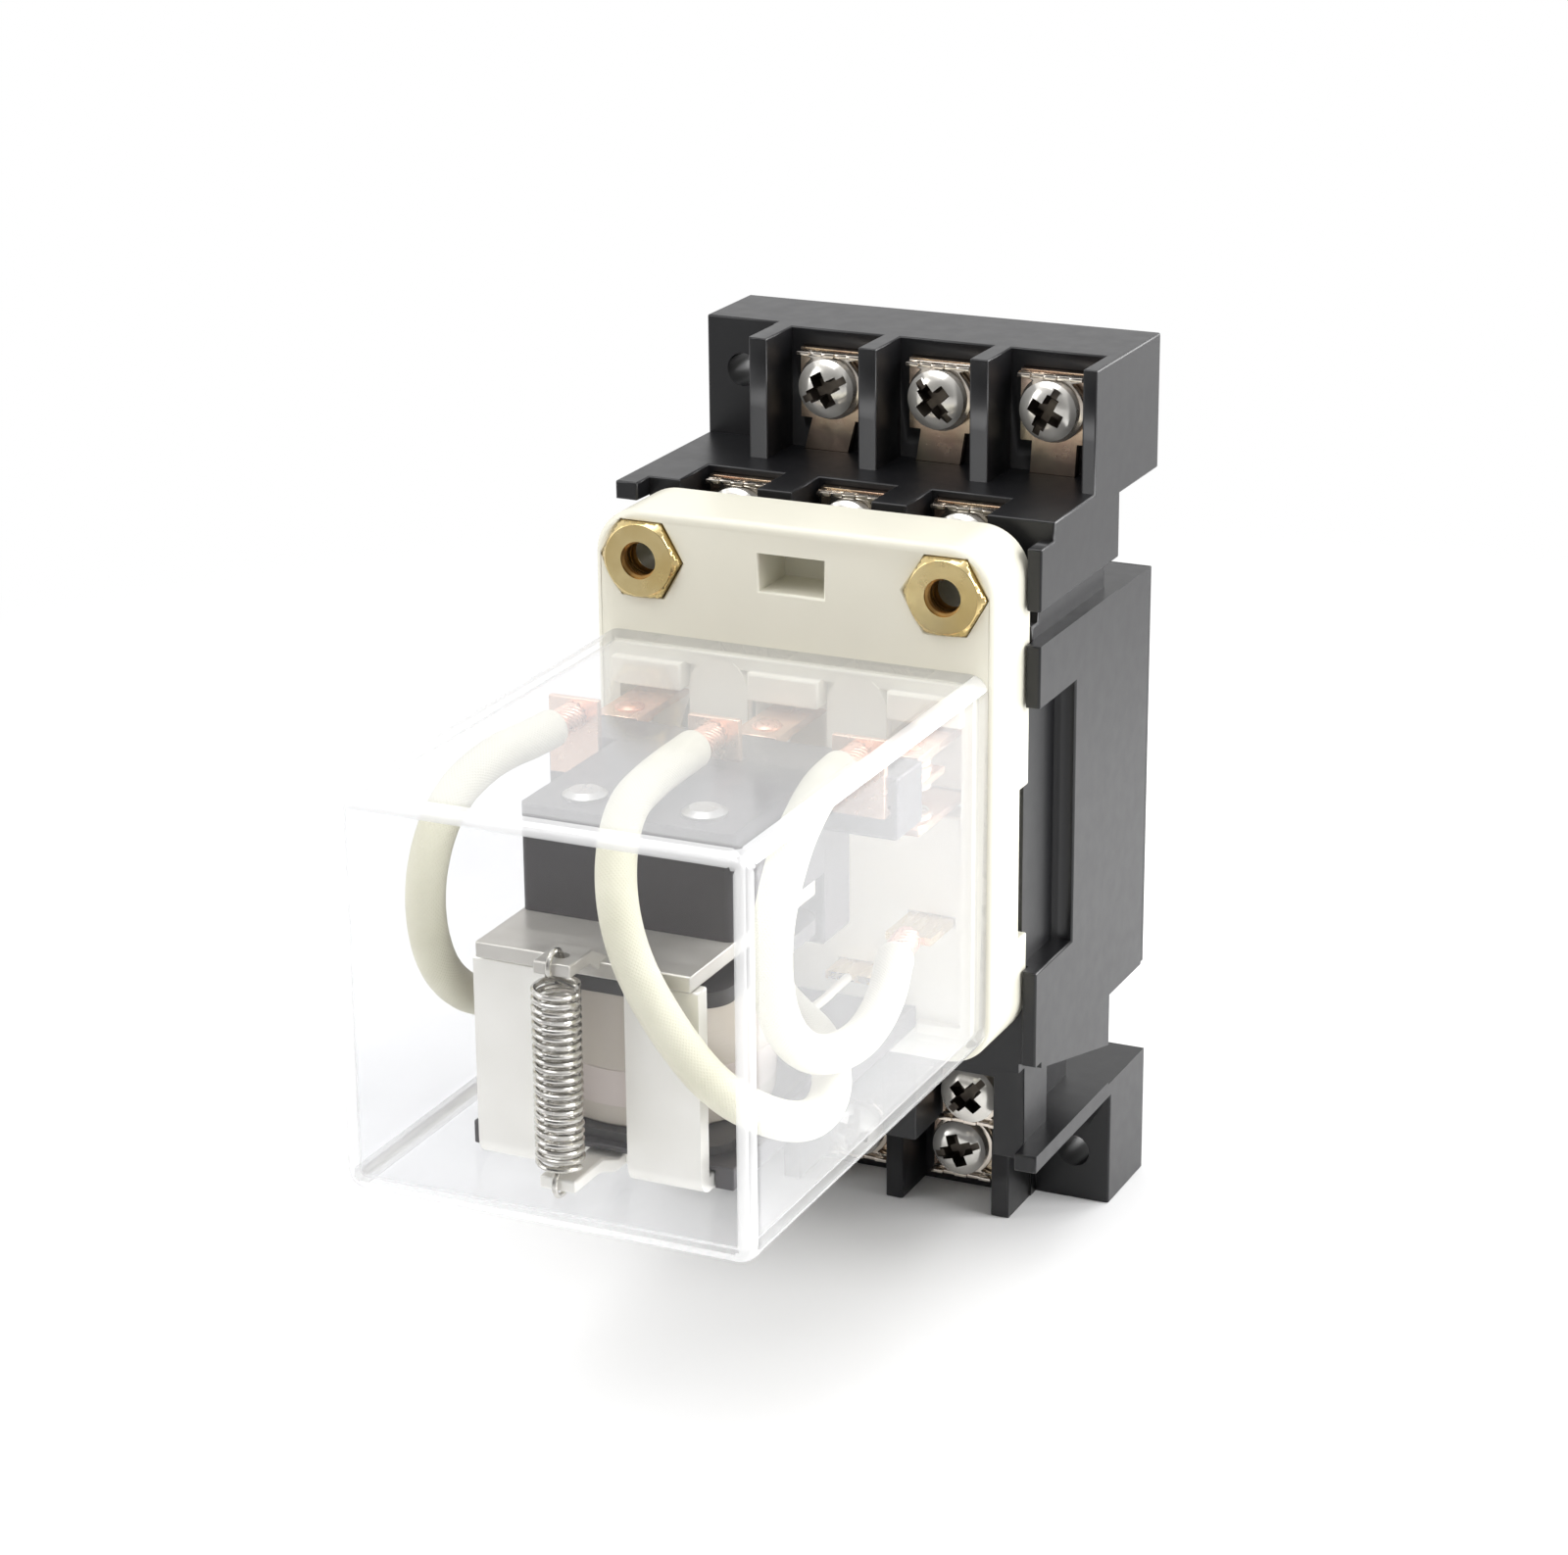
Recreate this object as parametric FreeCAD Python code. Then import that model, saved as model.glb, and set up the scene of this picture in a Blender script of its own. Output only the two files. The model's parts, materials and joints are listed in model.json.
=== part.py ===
import FreeCAD, Part
import math
import os

Vector = FreeCAD.Vector

# A three-pole plug-in power relay in its screw-terminal socket.
# All sizes are in millimetres. The socket's back lies in the plane Y = 0, where it meets the panel,
# +Z is up and the relay stands out towards -Y. The origin is midway between the two panel holes.
# "Out" is the distance in front of the panel, so a point that is 40 out has Y = -40.

# How far a cut runs past the face it opens, and how deep a joined piece starts in its neighbour
over = 1.0

# Socket moulding
deck_height = 62.0
platform_rise = 13.5
rear_tier = 16.4
middle_height = 58.0
end_block_height = 18.5
deck_out = 40.4
platform_out = 38.3
cell_floor_out = 15.6
barrier_out = 23.9
lug_face_out = 13.6
notch_out = 14.6
middle_back_out = 2.2
side_wall = 2.0
side_wall_lip = 2.3
side_wall_low_z = -28.8
side_wall_high_z = 42.0
window_low_z = -15.5
window_high_z = 20.8
window_back_out = 29.7
window_depth = 3.0
groove_low_z = 29.2
groove_high_z = 33.7
groove_depth = 2.0
pocket_depth = 3.2
pocket_inner_depth = 6.3
pocket_step_out = 29.8
pocket_rise = 7.8
shelf = 2.5
shelf_nose = 3.6
barrier = 2.6
lug_width = 10.9
panel_hole = 4.6
panel_hole_inset = 5.3

# Rear tier cells, next to the panel, and front tier cells, in the platform
cells = 3
lug_gap = 0.15
rear_cell_rise = 9.2
front_cell_left = 5.2
front_cell_right = 6.8
front_cell_drop = 5.8
front_cell_width = 11.2
front_cell_reach = 5.5
front_floor_out = 29.5

# Back plate and its rivets
back_plate = 1.2
back_plate_inset = 0.2
rivet_shank = 2.4
rivet_head = 4.6
rivet_head_height = 0.8
rivet_length = 6.0
rivet_hole_end = 0.5
head_rim_share = 0.4
head_top_share = 0.68
rivet_inset = 4.8
rivet_first_z = -14.0
rivet_pitch = 10.0

# Terminals: strip, clamp and screw
blade_width = 6.3
blade = 1.0
blade_length = 11.0
clip_gap = 0.15
clip_leaf = 0.8
clip_mouth_inset = 1.0
clip_length = 12.4
strip = 1.2
pad = 9.6
strip_fit = 0.15
clamp_plate = 1.1
clamp_side = 9.4
clamp_lip = 0.9
clamp_lip_wall = 0.5
clamp_gap = 0.1
screw_shank = 4.0
screw_length = 8.0
screw_head = 8.0
screw_head_height = 2.6
screw_slot = 1.1
screw_slot_depth = 1.3
screw_slot_inset = 0.4
screw_fit = 0.05
screw_room = 0.35

# Pins of the relay, in rows across its base
pole_pitch = 19.5
pole_to_side = 8.5
nc_z = 24.0
no_z = 10.0
com_z = -6.0
coil_z = -14.0

# Relay base
base_clear = 0.3
base_height = 69.8
base_z = 9.2
base_thick = 12.1
base_corner = 6.5
base_edge = 0.9
base_slot_width = 9.0
base_slot_height = 5.0
base_slot_depth = 8.0
base_slot_z = 37.7
side_notch_low_z = -10.7
side_notch_high_z = 9.8
side_notch_out = 2.9
side_notch_depth = 2.6
nut_across = 10.0
nut_thick = 4.5
nut_proud = 1.0
nut_bore = 5.0
nut_fit = 0.1
nut_inset = 6.74
nut_back_hole = 7.0
nut_z = 37.6
nut_chamfer = 0.5
barrier_post_width = 8.3
barrier_post_top_z = 26.0
barrier_post_proud = 1.5
contact_block_width = 10.0
contact_block_low_z = 21.3
contact_block_high_z = 25.0
contact_block_proud = 3.0
recess_width = 11.0
recess_low_z = 8.4
recess_high_z = 20.8
recess_depth = 4.0
pin_fit = 0.1
rib = 1.5
rib_proud = 1.2
rib_clear = 0.3

# Clear cover
cover_inset = 0.8
cover_low_z = -23.1
lead_cover_clear = 0.5
spring_cover_clear = 0.7
cover_wall = 1.3
cover_corner = 2.6

# Contacts: reach is the distance in front of the base's front face
contact_reach = 7.5
contact_arm_over = 1.0
button = 6.0
nc_button = 1.0
no_button = 1.0
moving_button = 1.0
nc_gap = 0.1
nc_bend_depth = 5.0
nc_arm_clear = 0.8
moving_blade_width = 7.0
moving_tip_reach = 4.0
riser_clear = 0.5
riser_below_lead = 0.2
com_tail_reach = 7.5
coil_tail_reach = 4.5

# Electromagnet
frame_clear = 0.5
frame_thick = 3.0
frame_side = 2.3
frame_front_clear = 0.9
yoke = 2.5
yoke_floor = 2.0
yoke_inset = 0.3
yoke_slot = 10.4
yoke_clear = 2.3
yoke_top_z = 4.9
yoke_back_width = 20.0
yoke_back_inset = 0.2
yoke_bend = 2.4
coil_clear = 1.8
winding_inset = 1.2
core = 10.0
pole_face = 15.0
pole_face_height = 0.6
pole_face_z = 3.4
bobbin_flange = 2.0
bobbin_low_flange = 1.2
bobbin_side = 30.4
bobbin_corner = 4.0
bobbin_wall = 1.0
magnet_fit = 0.1

# Armature and contact carrier
armature = 2.0
armature_gap = 0.1
armature_inset = 0.7
armature_back_gap = 1.0
armature_front_over = 0.6
heel_width = 4.8
heel_rise = 2.6
heel_bend_length = 4.0
heel_thick = 1.6
hook_hole = 1.9
hook_edge = 2.7
carrier_top_z = 20.6
carrier_front_over = 9.0
carrier_back_clear = 2.0
carrier_back = 8.0
carrier_low_z = -2.6
crossbar_over = 1.0
crossbar_low_z = 12.5
carrier_edge = 1.2
armature_rivet = 3.6
armature_rivet_head = 5.6
armature_rivet_head_height = 0.9
armature_rivet_x = 8.0
armature_rivet_over = 3.5

# Return spring
spring_over = 7.0
spring_outer = 6.0
spring_wire = 0.7
spring_turns = 22
spring_turn_runs = 8
spring_top_z = 6.3
spring_bottom_z = -16.4
spring_loop = 3.4

# Flexible leads
lead = 5.0
lead_clear = 0.4
coil_wire = 1.2
coil_wire_clear = 0.1
coil_wire_x = 6.0
bend_share = 0.45

# Values that follow from the sizes above
base_width = 2 * (pole_pitch + pole_to_side)
socket_width = base_width + 2 * (side_wall + base_clear)
cover_width = base_width - 2 * cover_inset
crossbar_width = 2 * pole_pitch + moving_blade_width + 2 * crossbar_over
frame_width = bobbin_side + 2 * frame_side
yoke_width = bobbin_side - 2 * yoke_inset
armature_width = yoke_width - 2 * armature_inset
carrier_width = armature_width
half_width = socket_width / 2
deck_z = deck_height / 2
platform_z = deck_z + platform_rise
half_height = platform_z + rear_tier
middle_z = middle_height / 2
rear_cell_pitch = (socket_width - lug_width - side_wall) / cells
rear_cell_first_x = lug_width + lug_gap + barrier / 2 + rear_cell_pitch / 2 - half_width
rear_cell_z = platform_z + rear_cell_rise
front_cell_pitch = (socket_width - front_cell_left - front_cell_right) / cells
front_cell_first_x = front_cell_left + front_cell_pitch / 2 - half_width
front_cell_z = platform_z - front_cell_drop
front_cell_low_z = front_cell_z - front_cell_reach
panel_hole_x = half_width - panel_hole_inset
rivet_x = half_width - rivet_inset
nut_x = base_width / 2 - nut_inset
end_block_z = half_height - end_block_height
side_wall_out = deck_out + side_wall_lip
front_out = deck_out + base_thick
base_low_z = base_z - base_height / 2
base_high_z = base_z + base_height / 2
cover_floor_z = cover_low_z + cover_wall
blade_tip_out = deck_out - blade_length
pole_x = [-pole_pitch, 0.0, pole_pitch]
coil_x = [-pole_pitch / 2, pole_pitch / 2]
frame_low_z = cover_floor_z + frame_clear
frame_high_z = frame_low_z + frame_thick
contact_arm_reach = contact_reach + button / 2 + contact_arm_over
carrier_back_out = front_out + contact_arm_reach + carrier_back_clear
carrier_low_out = carrier_back_out + carrier_back
riser_out = carrier_low_out + blade + riser_clear
coil_out = carrier_low_out + coil_clear + bobbin_side / 2
coil_radius = bobbin_side / 2 - winding_inset
hinge_out = coil_out + bobbin_side / 2 + yoke_clear
yoke_out = hinge_out + yoke
armature_z = yoke_top_z + armature_gap
armature_top_z = armature_z + armature
nc_arm_z = recess_high_z - strip - nc_arm_clear
nc_button_z = nc_arm_z - nc_button
moving_top_z = nc_button_z - nc_gap - moving_button
moving_z = moving_top_z - blade
lower_button_z = moving_z - moving_button
spring_out = yoke_out + spring_over
cover_front_out = spring_out + spring_outer / 2 + spring_cover_clear + cover_wall
lead_z = carrier_top_z + lead_clear + lead / 2
cover_high_z = lead_z + lead / 2 + lead_cover_clear + cover_wall
riser_high_z = lead_z + lead / 2 - riser_below_lead


# Basic shapes

def box(x0, x1, out0, out1, z0, z1):
    """A block from its two X, out and Z limits."""
    return Part.makeBox(x1 - x0, out1 - out0, z1 - z0, Vector(x0, -out1, z0))


def rod(x, z, radius, out0, out1):
    """A cylinder that points out of the panel."""
    return Part.makeCylinder(radius, out1 - out0, Vector(x, -out1, z), Vector(0, 1, 0))


def post(x, out, radius, z0, z1):
    """A cylinder that stands upright."""
    return Part.makeCylinder(radius, z1 - z0, Vector(x, -out, z0), Vector(0, 0, 1))


def plate(points, out0, out1):
    """An outline of (x, z) points, given a thickness out of the panel."""
    wire = Part.makePolygon([Vector(x, -out1, z) for x, z in points + points[:1]])
    return Part.Face(wire).extrude(Vector(0, out1 - out0, 0))


def slab(points, x0, x1):
    """An outline of (out, z) points, given a width along X."""
    wire = Part.makePolygon([Vector(x0, -out, z) for out, z in points + points[:1]])
    return Part.Face(wire).extrude(Vector(x1 - x0, 0, 0))


def join(shapes):
    """One solid from overlapping or touching shapes."""
    return shapes[0].multiFuse(shapes[1:]).removeSplitter()


def half_turn(shape):
    """The same shape at the socket's other end."""
    turned = shape.copy()
    turned.rotate(Vector(0, 0, 0), Vector(0, 1, 0), 180)
    return turned


def both_ends(shapes):
    return shapes + [half_turn(shape) for shape in shapes]


def straight_edges(shape, axis, keep):
    """The straight edges along an axis whose middle passes the keep test."""
    found = []
    for edge in shape.Edges:
        if len(edge.Vertexes) != 2 or edge.Curve.TypeId != "Part::GeomLine":
            continue
        run = edge.Vertexes[1].Point - edge.Vertexes[0].Point
        if abs(abs(run.normalize().dot(axis)) - 1) < 1e-6 and keep(edge.CenterOfMass):
            found.append(edge)
    return found


def rounded_block(half, z0, z1, out0, out1, corner):
    """A block whose four edges along Y are rounded."""
    block = box(-half, half, out0, out1, z0, z1)
    return block.makeFillet(corner, straight_edges(block, Vector(0, 1, 0), lambda middle: True))


def tangent_path(points, share):
    """Straight runs joined by tangent arcs, as one wire, with its smallest radius."""
    edges = []
    radii = []
    start = points[0]
    for before, corner, after in zip(points, points[1:], points[2:]):
        run_in = corner - before
        run_out = after - corner
        turn = run_in.getAngle(run_out)
        setback = share * min(run_in.Length, run_out.Length)
        radii.append(setback / math.tan(turn / 2))
        arc_start = corner - Vector(run_in).normalize() * setback
        arc_end = corner + Vector(run_out).normalize() * setback
        to_middle = (arc_start + arc_end) * 0.5 - corner
        reach = radii[-1] / math.cos(turn / 2) - radii[-1]
        arc_middle = corner + to_middle.normalize() * reach
        edges.append(Part.LineSegment(start, arc_start).toShape())
        edges.append(Part.Arc(arc_start, arc_middle, arc_end).toShape())
        start = arc_end
    edges.append(Part.LineSegment(start, points[-1]).toShape())
    return Part.Wire(edges), min(radii)


def tube(points, diameter, name):
    """A round wire or sleeve along a route."""
    path, tightest = tangent_path(points, bend_share)
    direction = points[1] - points[0]
    ring = Part.Wire(Part.Circle(points[0], direction, diameter / 2).toShape())
    solid = path.makePipe(Part.Face(ring))
    print(name, "length", round(path.Length, 1), "tightest radius", round(tightest, 1))
    return solid


def domed_head(seat, way, radius, height):
    """A low head: a straight rim and a cone above it."""
    rim = height * head_rim_share
    lower = Part.makeCylinder(radius, rim, seat, way)
    upper = Part.makeCone(radius, radius * head_top_share, height - rim, seat + way * rim, way)
    return join([lower, upper])


def save(name, shape):
    shape.exportStep("parts/" + name + ".step")


# Socket: where each terminal is, and which pin it serves

def rear_cell_x(index):
    return rear_cell_first_x + index * rear_cell_pitch


def front_cell_x(index):
    return front_cell_first_x + index * front_cell_pitch


terminals = []
for pole in range(3):
    number = str(pole + 1)
    terminals.append(("nc_" + number, pole_x[pole], nc_z, front_cell_x(pole), front_cell_z, False))
    terminals.append(("no_" + number, pole_x[pole], no_z, rear_cell_x(pole), rear_cell_z, True))
    terminals.append(("com_" + number, pole_x[pole], com_z, -rear_cell_x(2 - pole), -rear_cell_z, True))
terminals.append(("coil_1", coil_x[0], coil_z, -front_cell_x(2), -front_cell_z, False))
terminals.append(("coil_2", coil_x[1], coil_z, -front_cell_x(0), -front_cell_z, False))


def pad_floor(deep):
    return cell_floor_out if deep else front_floor_out


def terminal_strip(x_pin, z_pin, x_cell, z_cell, deep, fit):
    """A female clip, a bent strip and a screw pad in one piece, or with a fit, the room for it."""
    way = 1 if z_cell > 0 else -1
    half = blade_width / 2 + fit
    clip_half = blade / 2 + clip_gap + clip_leaf
    clip_end_out = deck_out - clip_mouth_inset - clip_length
    mouth_out = deck_out - clip_mouth_inset if fit == 0 else side_wall_out
    floor = pad_floor(deep)
    clip = box(x_pin - half, x_pin + half, clip_end_out - fit, mouth_out,
               z_pin - clip_half - fit, z_pin + clip_half + fit)
    if fit == 0:
        gap = clip_half - clip_leaf
        clip = clip.cut(box(x_pin - half, x_pin + half, clip_end_out + clip_leaf, mouth_out,
                            z_pin - gap, z_pin + gap))
    pieces = [clip]
    run_start_z = z_pin - way * (strip / 2 + fit)
    if deep:
        pieces.append(box(x_pin - half, x_pin + half, floor - fit, clip_end_out + clip_leaf / 2,
                          z_pin - strip / 2 - fit, z_pin + strip / 2 + fit))
    else:
        run_start_z = z_pin + way * (clip_half - clip_leaf / 2)
    pad_near_z = z_cell - way * (pad / 2 + fit)
    bend_z = run_start_z + way * (strip + clip_half)
    low = min(floor, floor - fit)
    outline = [(x_pin - half, run_start_z), (x_pin - half, bend_z), (x_cell - half, pad_near_z),
               (x_cell - half, z_cell), (x_cell + half, z_cell), (x_cell + half, pad_near_z),
               (x_pin + half, bend_z), (x_pin + half, run_start_z)]
    pieces.append(plate(outline, low, floor + strip + fit))
    wide = pad / 2 + fit
    pieces.append(box(x_cell - wide, x_cell + wide, low, floor + strip + fit, z_cell - wide, z_cell + wide))
    whole = join(pieces)
    if fit == 0:
        hole = rod(x_cell, z_cell, screw_shank / 2 + screw_fit, floor - strip, floor + 2 * strip)
        whole = whole.cut(hole)
    return whole


def terminal_clamp(x_cell, z_cell, deep):
    """A square clamp plate, with its two side edges turned out beside the screw head."""
    back = pad_floor(deep) + strip + clamp_gap
    half = clamp_side / 2
    flat = box(x_cell - half, x_cell + half, back, back + clamp_plate, z_cell - half, z_cell + half)
    lips = []
    for side in (-1, 1):
        edge_z = z_cell + side * (half - clamp_lip_wall / 2)
        lips.append(box(x_cell - half, x_cell + half, back, back + clamp_plate + clamp_lip,
                        edge_z - clamp_lip_wall / 2, edge_z + clamp_lip_wall / 2))
    hole = rod(x_cell, z_cell, screw_shank / 2 + screw_room, back - over, back + 2 * clamp_plate)
    return join([flat] + lips).cut(hole)


def terminal_screw(x_cell, z_cell, deep):
    """A pan-head screw with a cross recess."""
    seat = pad_floor(deep) + strip + clamp_gap + clamp_plate + clamp_gap
    top = seat + screw_head_height
    head = domed_head(Vector(x_cell, -seat, z_cell), Vector(0, -1, 0), screw_head / 2, screw_head_height)
    shank = rod(x_cell, z_cell, screw_shank / 2, seat - screw_length, seat)
    wide = screw_head / 2 * head_top_share - screw_slot_inset
    slot = screw_slot / 2
    bottom = top - screw_slot_depth
    across = box(x_cell - wide, x_cell + wide, bottom, top + over, z_cell - slot, z_cell + slot)
    upright = box(x_cell - slot, x_cell + slot, bottom, top + over, z_cell - wide, z_cell + wide)
    return join([head, shank]).cut([across, upright])


def end_additions():
    """Barriers and outer wall of the upper rear tier."""
    pieces = []
    for index in range(3):
        middle = rear_cell_x(index) - rear_cell_pitch / 2
        pieces.append(box(middle - barrier / 2, middle + barrier / 2, lug_face_out - over, barrier_out,
                          platform_z - over, half_height))
    pieces.append(box(half_width - side_wall, half_width, lug_face_out - over, barrier_out,
                      platform_z - over, half_height))
    return pieces


def end_cuts():
    """Lug face and panel hole, front tier cells and the open side pocket of the upper end."""
    lug_edge = -half_width + lug_width
    cuts = [box(-half_width - over, lug_edge, lug_face_out, cell_floor_out + over,
                platform_z, half_height + over)]
    cuts.append(rod(-panel_hole_x, rear_cell_z, panel_hole / 2, -over, cell_floor_out + over))
    for index in range(3):
        x = front_cell_x(index)
        cuts.append(box(x - front_cell_width / 2, x + front_cell_width / 2, front_floor_out, deck_out + over,
                        front_cell_low_z, platform_z + over))
    floor_z = platform_z - shelf
    wall_z = -side_wall_low_z
    pocket = [(side_wall_out + over, wall_z), (notch_out - over, wall_z + pocket_rise),
              (notch_out - over, floor_z), (side_wall_out + over, floor_z)]
    cuts.append(slab(pocket, -half_width - over, -half_width + pocket_depth))
    share = (side_wall_out + over - pocket_step_out) / (side_wall_out + 2 * over - notch_out)
    inner = [(pocket_step_out, wall_z + share * pocket_rise), (notch_out - over, wall_z + pocket_rise),
             (notch_out - over, floor_z), (pocket_step_out, floor_z)]
    cuts.append(slab(inner, -half_width - over, -half_width + pocket_inner_depth))
    return cuts


def side_cuts():
    """Finger window and groove of the right side."""
    window = box(half_width - window_depth, half_width + over, window_back_out, side_wall_out + over,
                 window_low_z, window_high_z)
    groove = box(half_width - groove_depth, half_width + over, notch_out - over, side_wall_out + over,
                 groove_low_z, groove_high_z)
    return [window, groove]


def socket_body():
    z = [deck_z, platform_z, half_height, end_block_z, middle_z]
    upper = [(deck_out, z[0]), (platform_out, z[0]), (platform_out, z[1]), (cell_floor_out, z[1]),
             (cell_floor_out, z[2]), (0, z[2]), (0, z[3]), (notch_out, z[3]), (notch_out, z[4]),
             (middle_back_out, z[4])]
    lower = [(out, -height) for out, height in reversed(upper)]
    body = slab(upper + lower, -half_width, half_width)
    wall = box(half_width - side_wall, half_width, platform_out - over, side_wall_out,
               side_wall_low_z, side_wall_high_z)
    nose = box(-half_width, -half_width + pocket_depth, platform_out - over, platform_out + shelf_nose,
               platform_z - shelf, platform_z)
    body = join([body] + both_ends([wall, nose] + end_additions()))
    cuts = both_ends(end_cuts() + side_cuts())
    for name, x_pin, z_pin, x_cell, z_cell, deep in terminals:
        cuts.append(terminal_strip(x_pin, z_pin, x_cell, z_cell, deep, strip_fit))
        screw_end = pad_floor(deep) + strip + clamp_plate - screw_length - over
        cuts.append(rod(x_cell, z_cell, screw_shank / 2 + screw_room, screw_end, pad_floor(deep) + over))
    for x, z in rivet_places():
        cuts.append(rod(x, z, rivet_shank / 2 + strip_fit, 0, middle_back_out + rivet_length))
    return body.cut(cuts)


def rivet_places():
    places = [(rivet_x, rivet_first_z + index * rivet_pitch) for index in range(3)]
    return places + [(-x, -z) for x, z in places]


def socket_back_plate():
    half = half_width - back_plate_inset
    high = middle_z - back_plate_inset
    sheet = box(-half, half, middle_back_out - back_plate, middle_back_out, -high, high)
    holes = [rod(x, z, rivet_shank / 2 + strip_fit, 0, middle_back_out + over) for x, z in rivet_places()]
    return sheet.cut(holes)


def socket_rivets():
    rivets = []
    for x, z in rivet_places():
        plate_back = middle_back_out - back_plate
        head = domed_head(Vector(x, -plate_back, z), Vector(0, 1, 0), rivet_head / 2, rivet_head_height)
        shank = rod(x, z, rivet_shank / 2, plate_back, middle_back_out + rivet_length - rivet_hole_end)
        rivets.append(join([head, shank]))
    return rivets


# Relay

def hexagon(x, z, across, out0, out1):
    """A hexagon with two level flats."""
    radius = across / math.sqrt(3)
    corners = [(x + radius * math.cos(math.radians(60 * k)), z + radius * math.sin(math.radians(60 * k)))
               for k in range(6)]
    return plate(corners, out0, out1)


def mounting_nut(side):
    top = front_out + nut_proud
    body = hexagon(side * nut_x, nut_z, nut_across, top - nut_thick, top)
    flat_radius = (nut_across - nut_chamfer) / 2
    face = Vector(side * nut_x, -top, nut_z)
    cone = Part.makeCone(flat_radius, flat_radius + nut_thick, nut_thick, face, Vector(0, 1, 0))
    return body.common(cone).cut(rod(side * nut_x, nut_z, nut_bore / 2, top - nut_thick - over, top + over))


def flat_pin(x, z, width, out0, out1, fit):
    half = width / 2 + fit
    return box(x - half, x + half, out0, out1, z - blade / 2 - fit, z + blade / 2 + fit)


def contact_button(x, z0, z1):
    return post(x, front_out + contact_reach, button / 2, z0, z1)


def contact_nc(x, fit):
    bend_out = front_out - nc_bend_depth
    pin = flat_pin(x, nc_z, blade_width, blade_tip_out, bend_out, fit)
    half = blade_width / 2 + fit
    riser = box(x - half, x + half, bend_out - blade - fit, bend_out + fit,
                nc_arm_z - fit, nc_z + blade / 2 + fit)
    arm = box(x - half, x + half, bend_out - blade - fit, front_out + contact_arm_reach,
              nc_arm_z - fit, nc_arm_z + strip + fit)
    return join([pin, riser, arm, contact_button(x, nc_button_z, nc_arm_z)])


def contact_no(x, fit):
    pin = flat_pin(x, no_z, blade_width, blade_tip_out, front_out + contact_arm_reach, fit)
    top = no_z + blade / 2
    return join([pin, contact_button(x, top, top + no_button)])


def pin_com(x, fit):
    return flat_pin(x, com_z, blade_width, blade_tip_out, front_out + com_tail_reach, fit)


def pin_coil(x, fit):
    return flat_pin(x, coil_z, blade_width, blade_tip_out, front_out + coil_tail_reach, fit)


def relay_base():
    half = base_width / 2
    body = rounded_block(half, base_low_z, base_high_z, deck_out, front_out, base_corner)
    front_edges = [edge for edge in body.Edges if abs(edge.CenterOfMass.y + front_out) < 1e-6]
    body = body.makeFillet(base_edge, front_edges)
    added = []
    for side in (-1, 1):
        middle = side * pole_pitch / 2
        radius = barrier_post_width / 2
        out1 = front_out + barrier_post_proud
        added.append(box(middle - radius, middle + radius, front_out - over, out1,
                         recess_low_z, barrier_post_top_z - radius))
        added.append(rod(middle, barrier_post_top_z - radius, radius, front_out - over, out1))
    cuts = []
    for x in pole_x:
        wide = contact_block_width / 2
        added.append(box(x - wide, x + wide, front_out - over, front_out + contact_block_proud,
                         contact_block_low_z, contact_block_high_z))
        wide = recess_width / 2
        cuts.append(box(x - wide, x + wide, front_out - recess_depth, front_out + over,
                        recess_low_z, recess_high_z))
        cuts += [contact_nc(x, pin_fit), contact_no(x, pin_fit), pin_com(x, pin_fit)]
    cuts += [pin_coil(x, pin_fit) for x in coil_x]
    inner = cover_width / 2 - cover_wall - rib_clear
    low = cover_floor_z + rib_clear
    high = cover_high_z - cover_wall - rib_clear
    outer_rib = rounded_block(inner, low, high, front_out - over, front_out + rib_proud,
                              cover_corner - cover_wall - rib_clear)
    rib_hole = box(-inner + rib, inner - rib, front_out - 2 * over, front_out + rib_proud + over,
                   low + rib, high - rib)
    tray_half = frame_width / 2 + rib_clear
    tray_gap = box(-tray_half, tray_half, front_out - 2 * over, front_out + rib_proud + over,
                   low - over, low + 2 * rib)
    body = join([body, outer_rib.cut([rib_hole, tray_gap])] + added)
    slot = base_slot_width / 2
    cuts.append(box(-slot, slot, front_out - base_slot_depth, front_out + over,
                    base_slot_z - base_slot_height / 2, base_slot_z + base_slot_height / 2))
    for side in (-1, 1):
        seat = front_out + nut_proud - nut_thick
        cuts.append(hexagon(side * nut_x, nut_z, nut_across + 2 * nut_fit, seat, front_out + over))
        cuts.append(rod(side * nut_x, nut_z, nut_back_hole / 2, deck_out - over, seat + over))
        edges = sorted([side * half, side * (half - side_notch_depth)])
        cuts.append(box(edges[0], edges[1], deck_out - over, deck_out + side_notch_out,
                        side_notch_low_z, side_notch_high_z))
    return body.cut(cuts)


def cover():
    half = cover_width / 2
    outer = box(-half, half, front_out, cover_front_out, cover_low_z, cover_high_z)
    outer = outer.makeFillet(cover_corner, cover_edges(outer, -front_out))
    inner_half = half - cover_wall
    inner = box(-inner_half, inner_half, front_out - over, cover_front_out - cover_wall,
                cover_floor_z, cover_high_z - cover_wall)
    inner = inner.makeFillet(cover_corner - cover_wall, cover_edges(inner, -front_out + over))
    return outer.cut(inner)


def cover_edges(block, open_y):
    """All edges of a block except the four round its open end."""
    return [edge for edge in block.Edges if abs(edge.CenterOfMass.y - open_y) > 1e-6]


def heel_tip_out():
    """The front end of the armature's heel and of the yoke's tongue, just past the spring."""
    return spring_out + spring_loop / 2 - spring_wire


def magnet_frame():
    half = frame_width / 2
    tray = box(-half, half, front_out, hinge_out - frame_front_clear, frame_low_z, frame_high_z)
    tray = tray.cut(yoke_plate(magnet_fit))
    return tray.cut(post(0, coil_out, core / 2 + magnet_fit, frame_low_z - over, frame_high_z + over))


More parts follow.
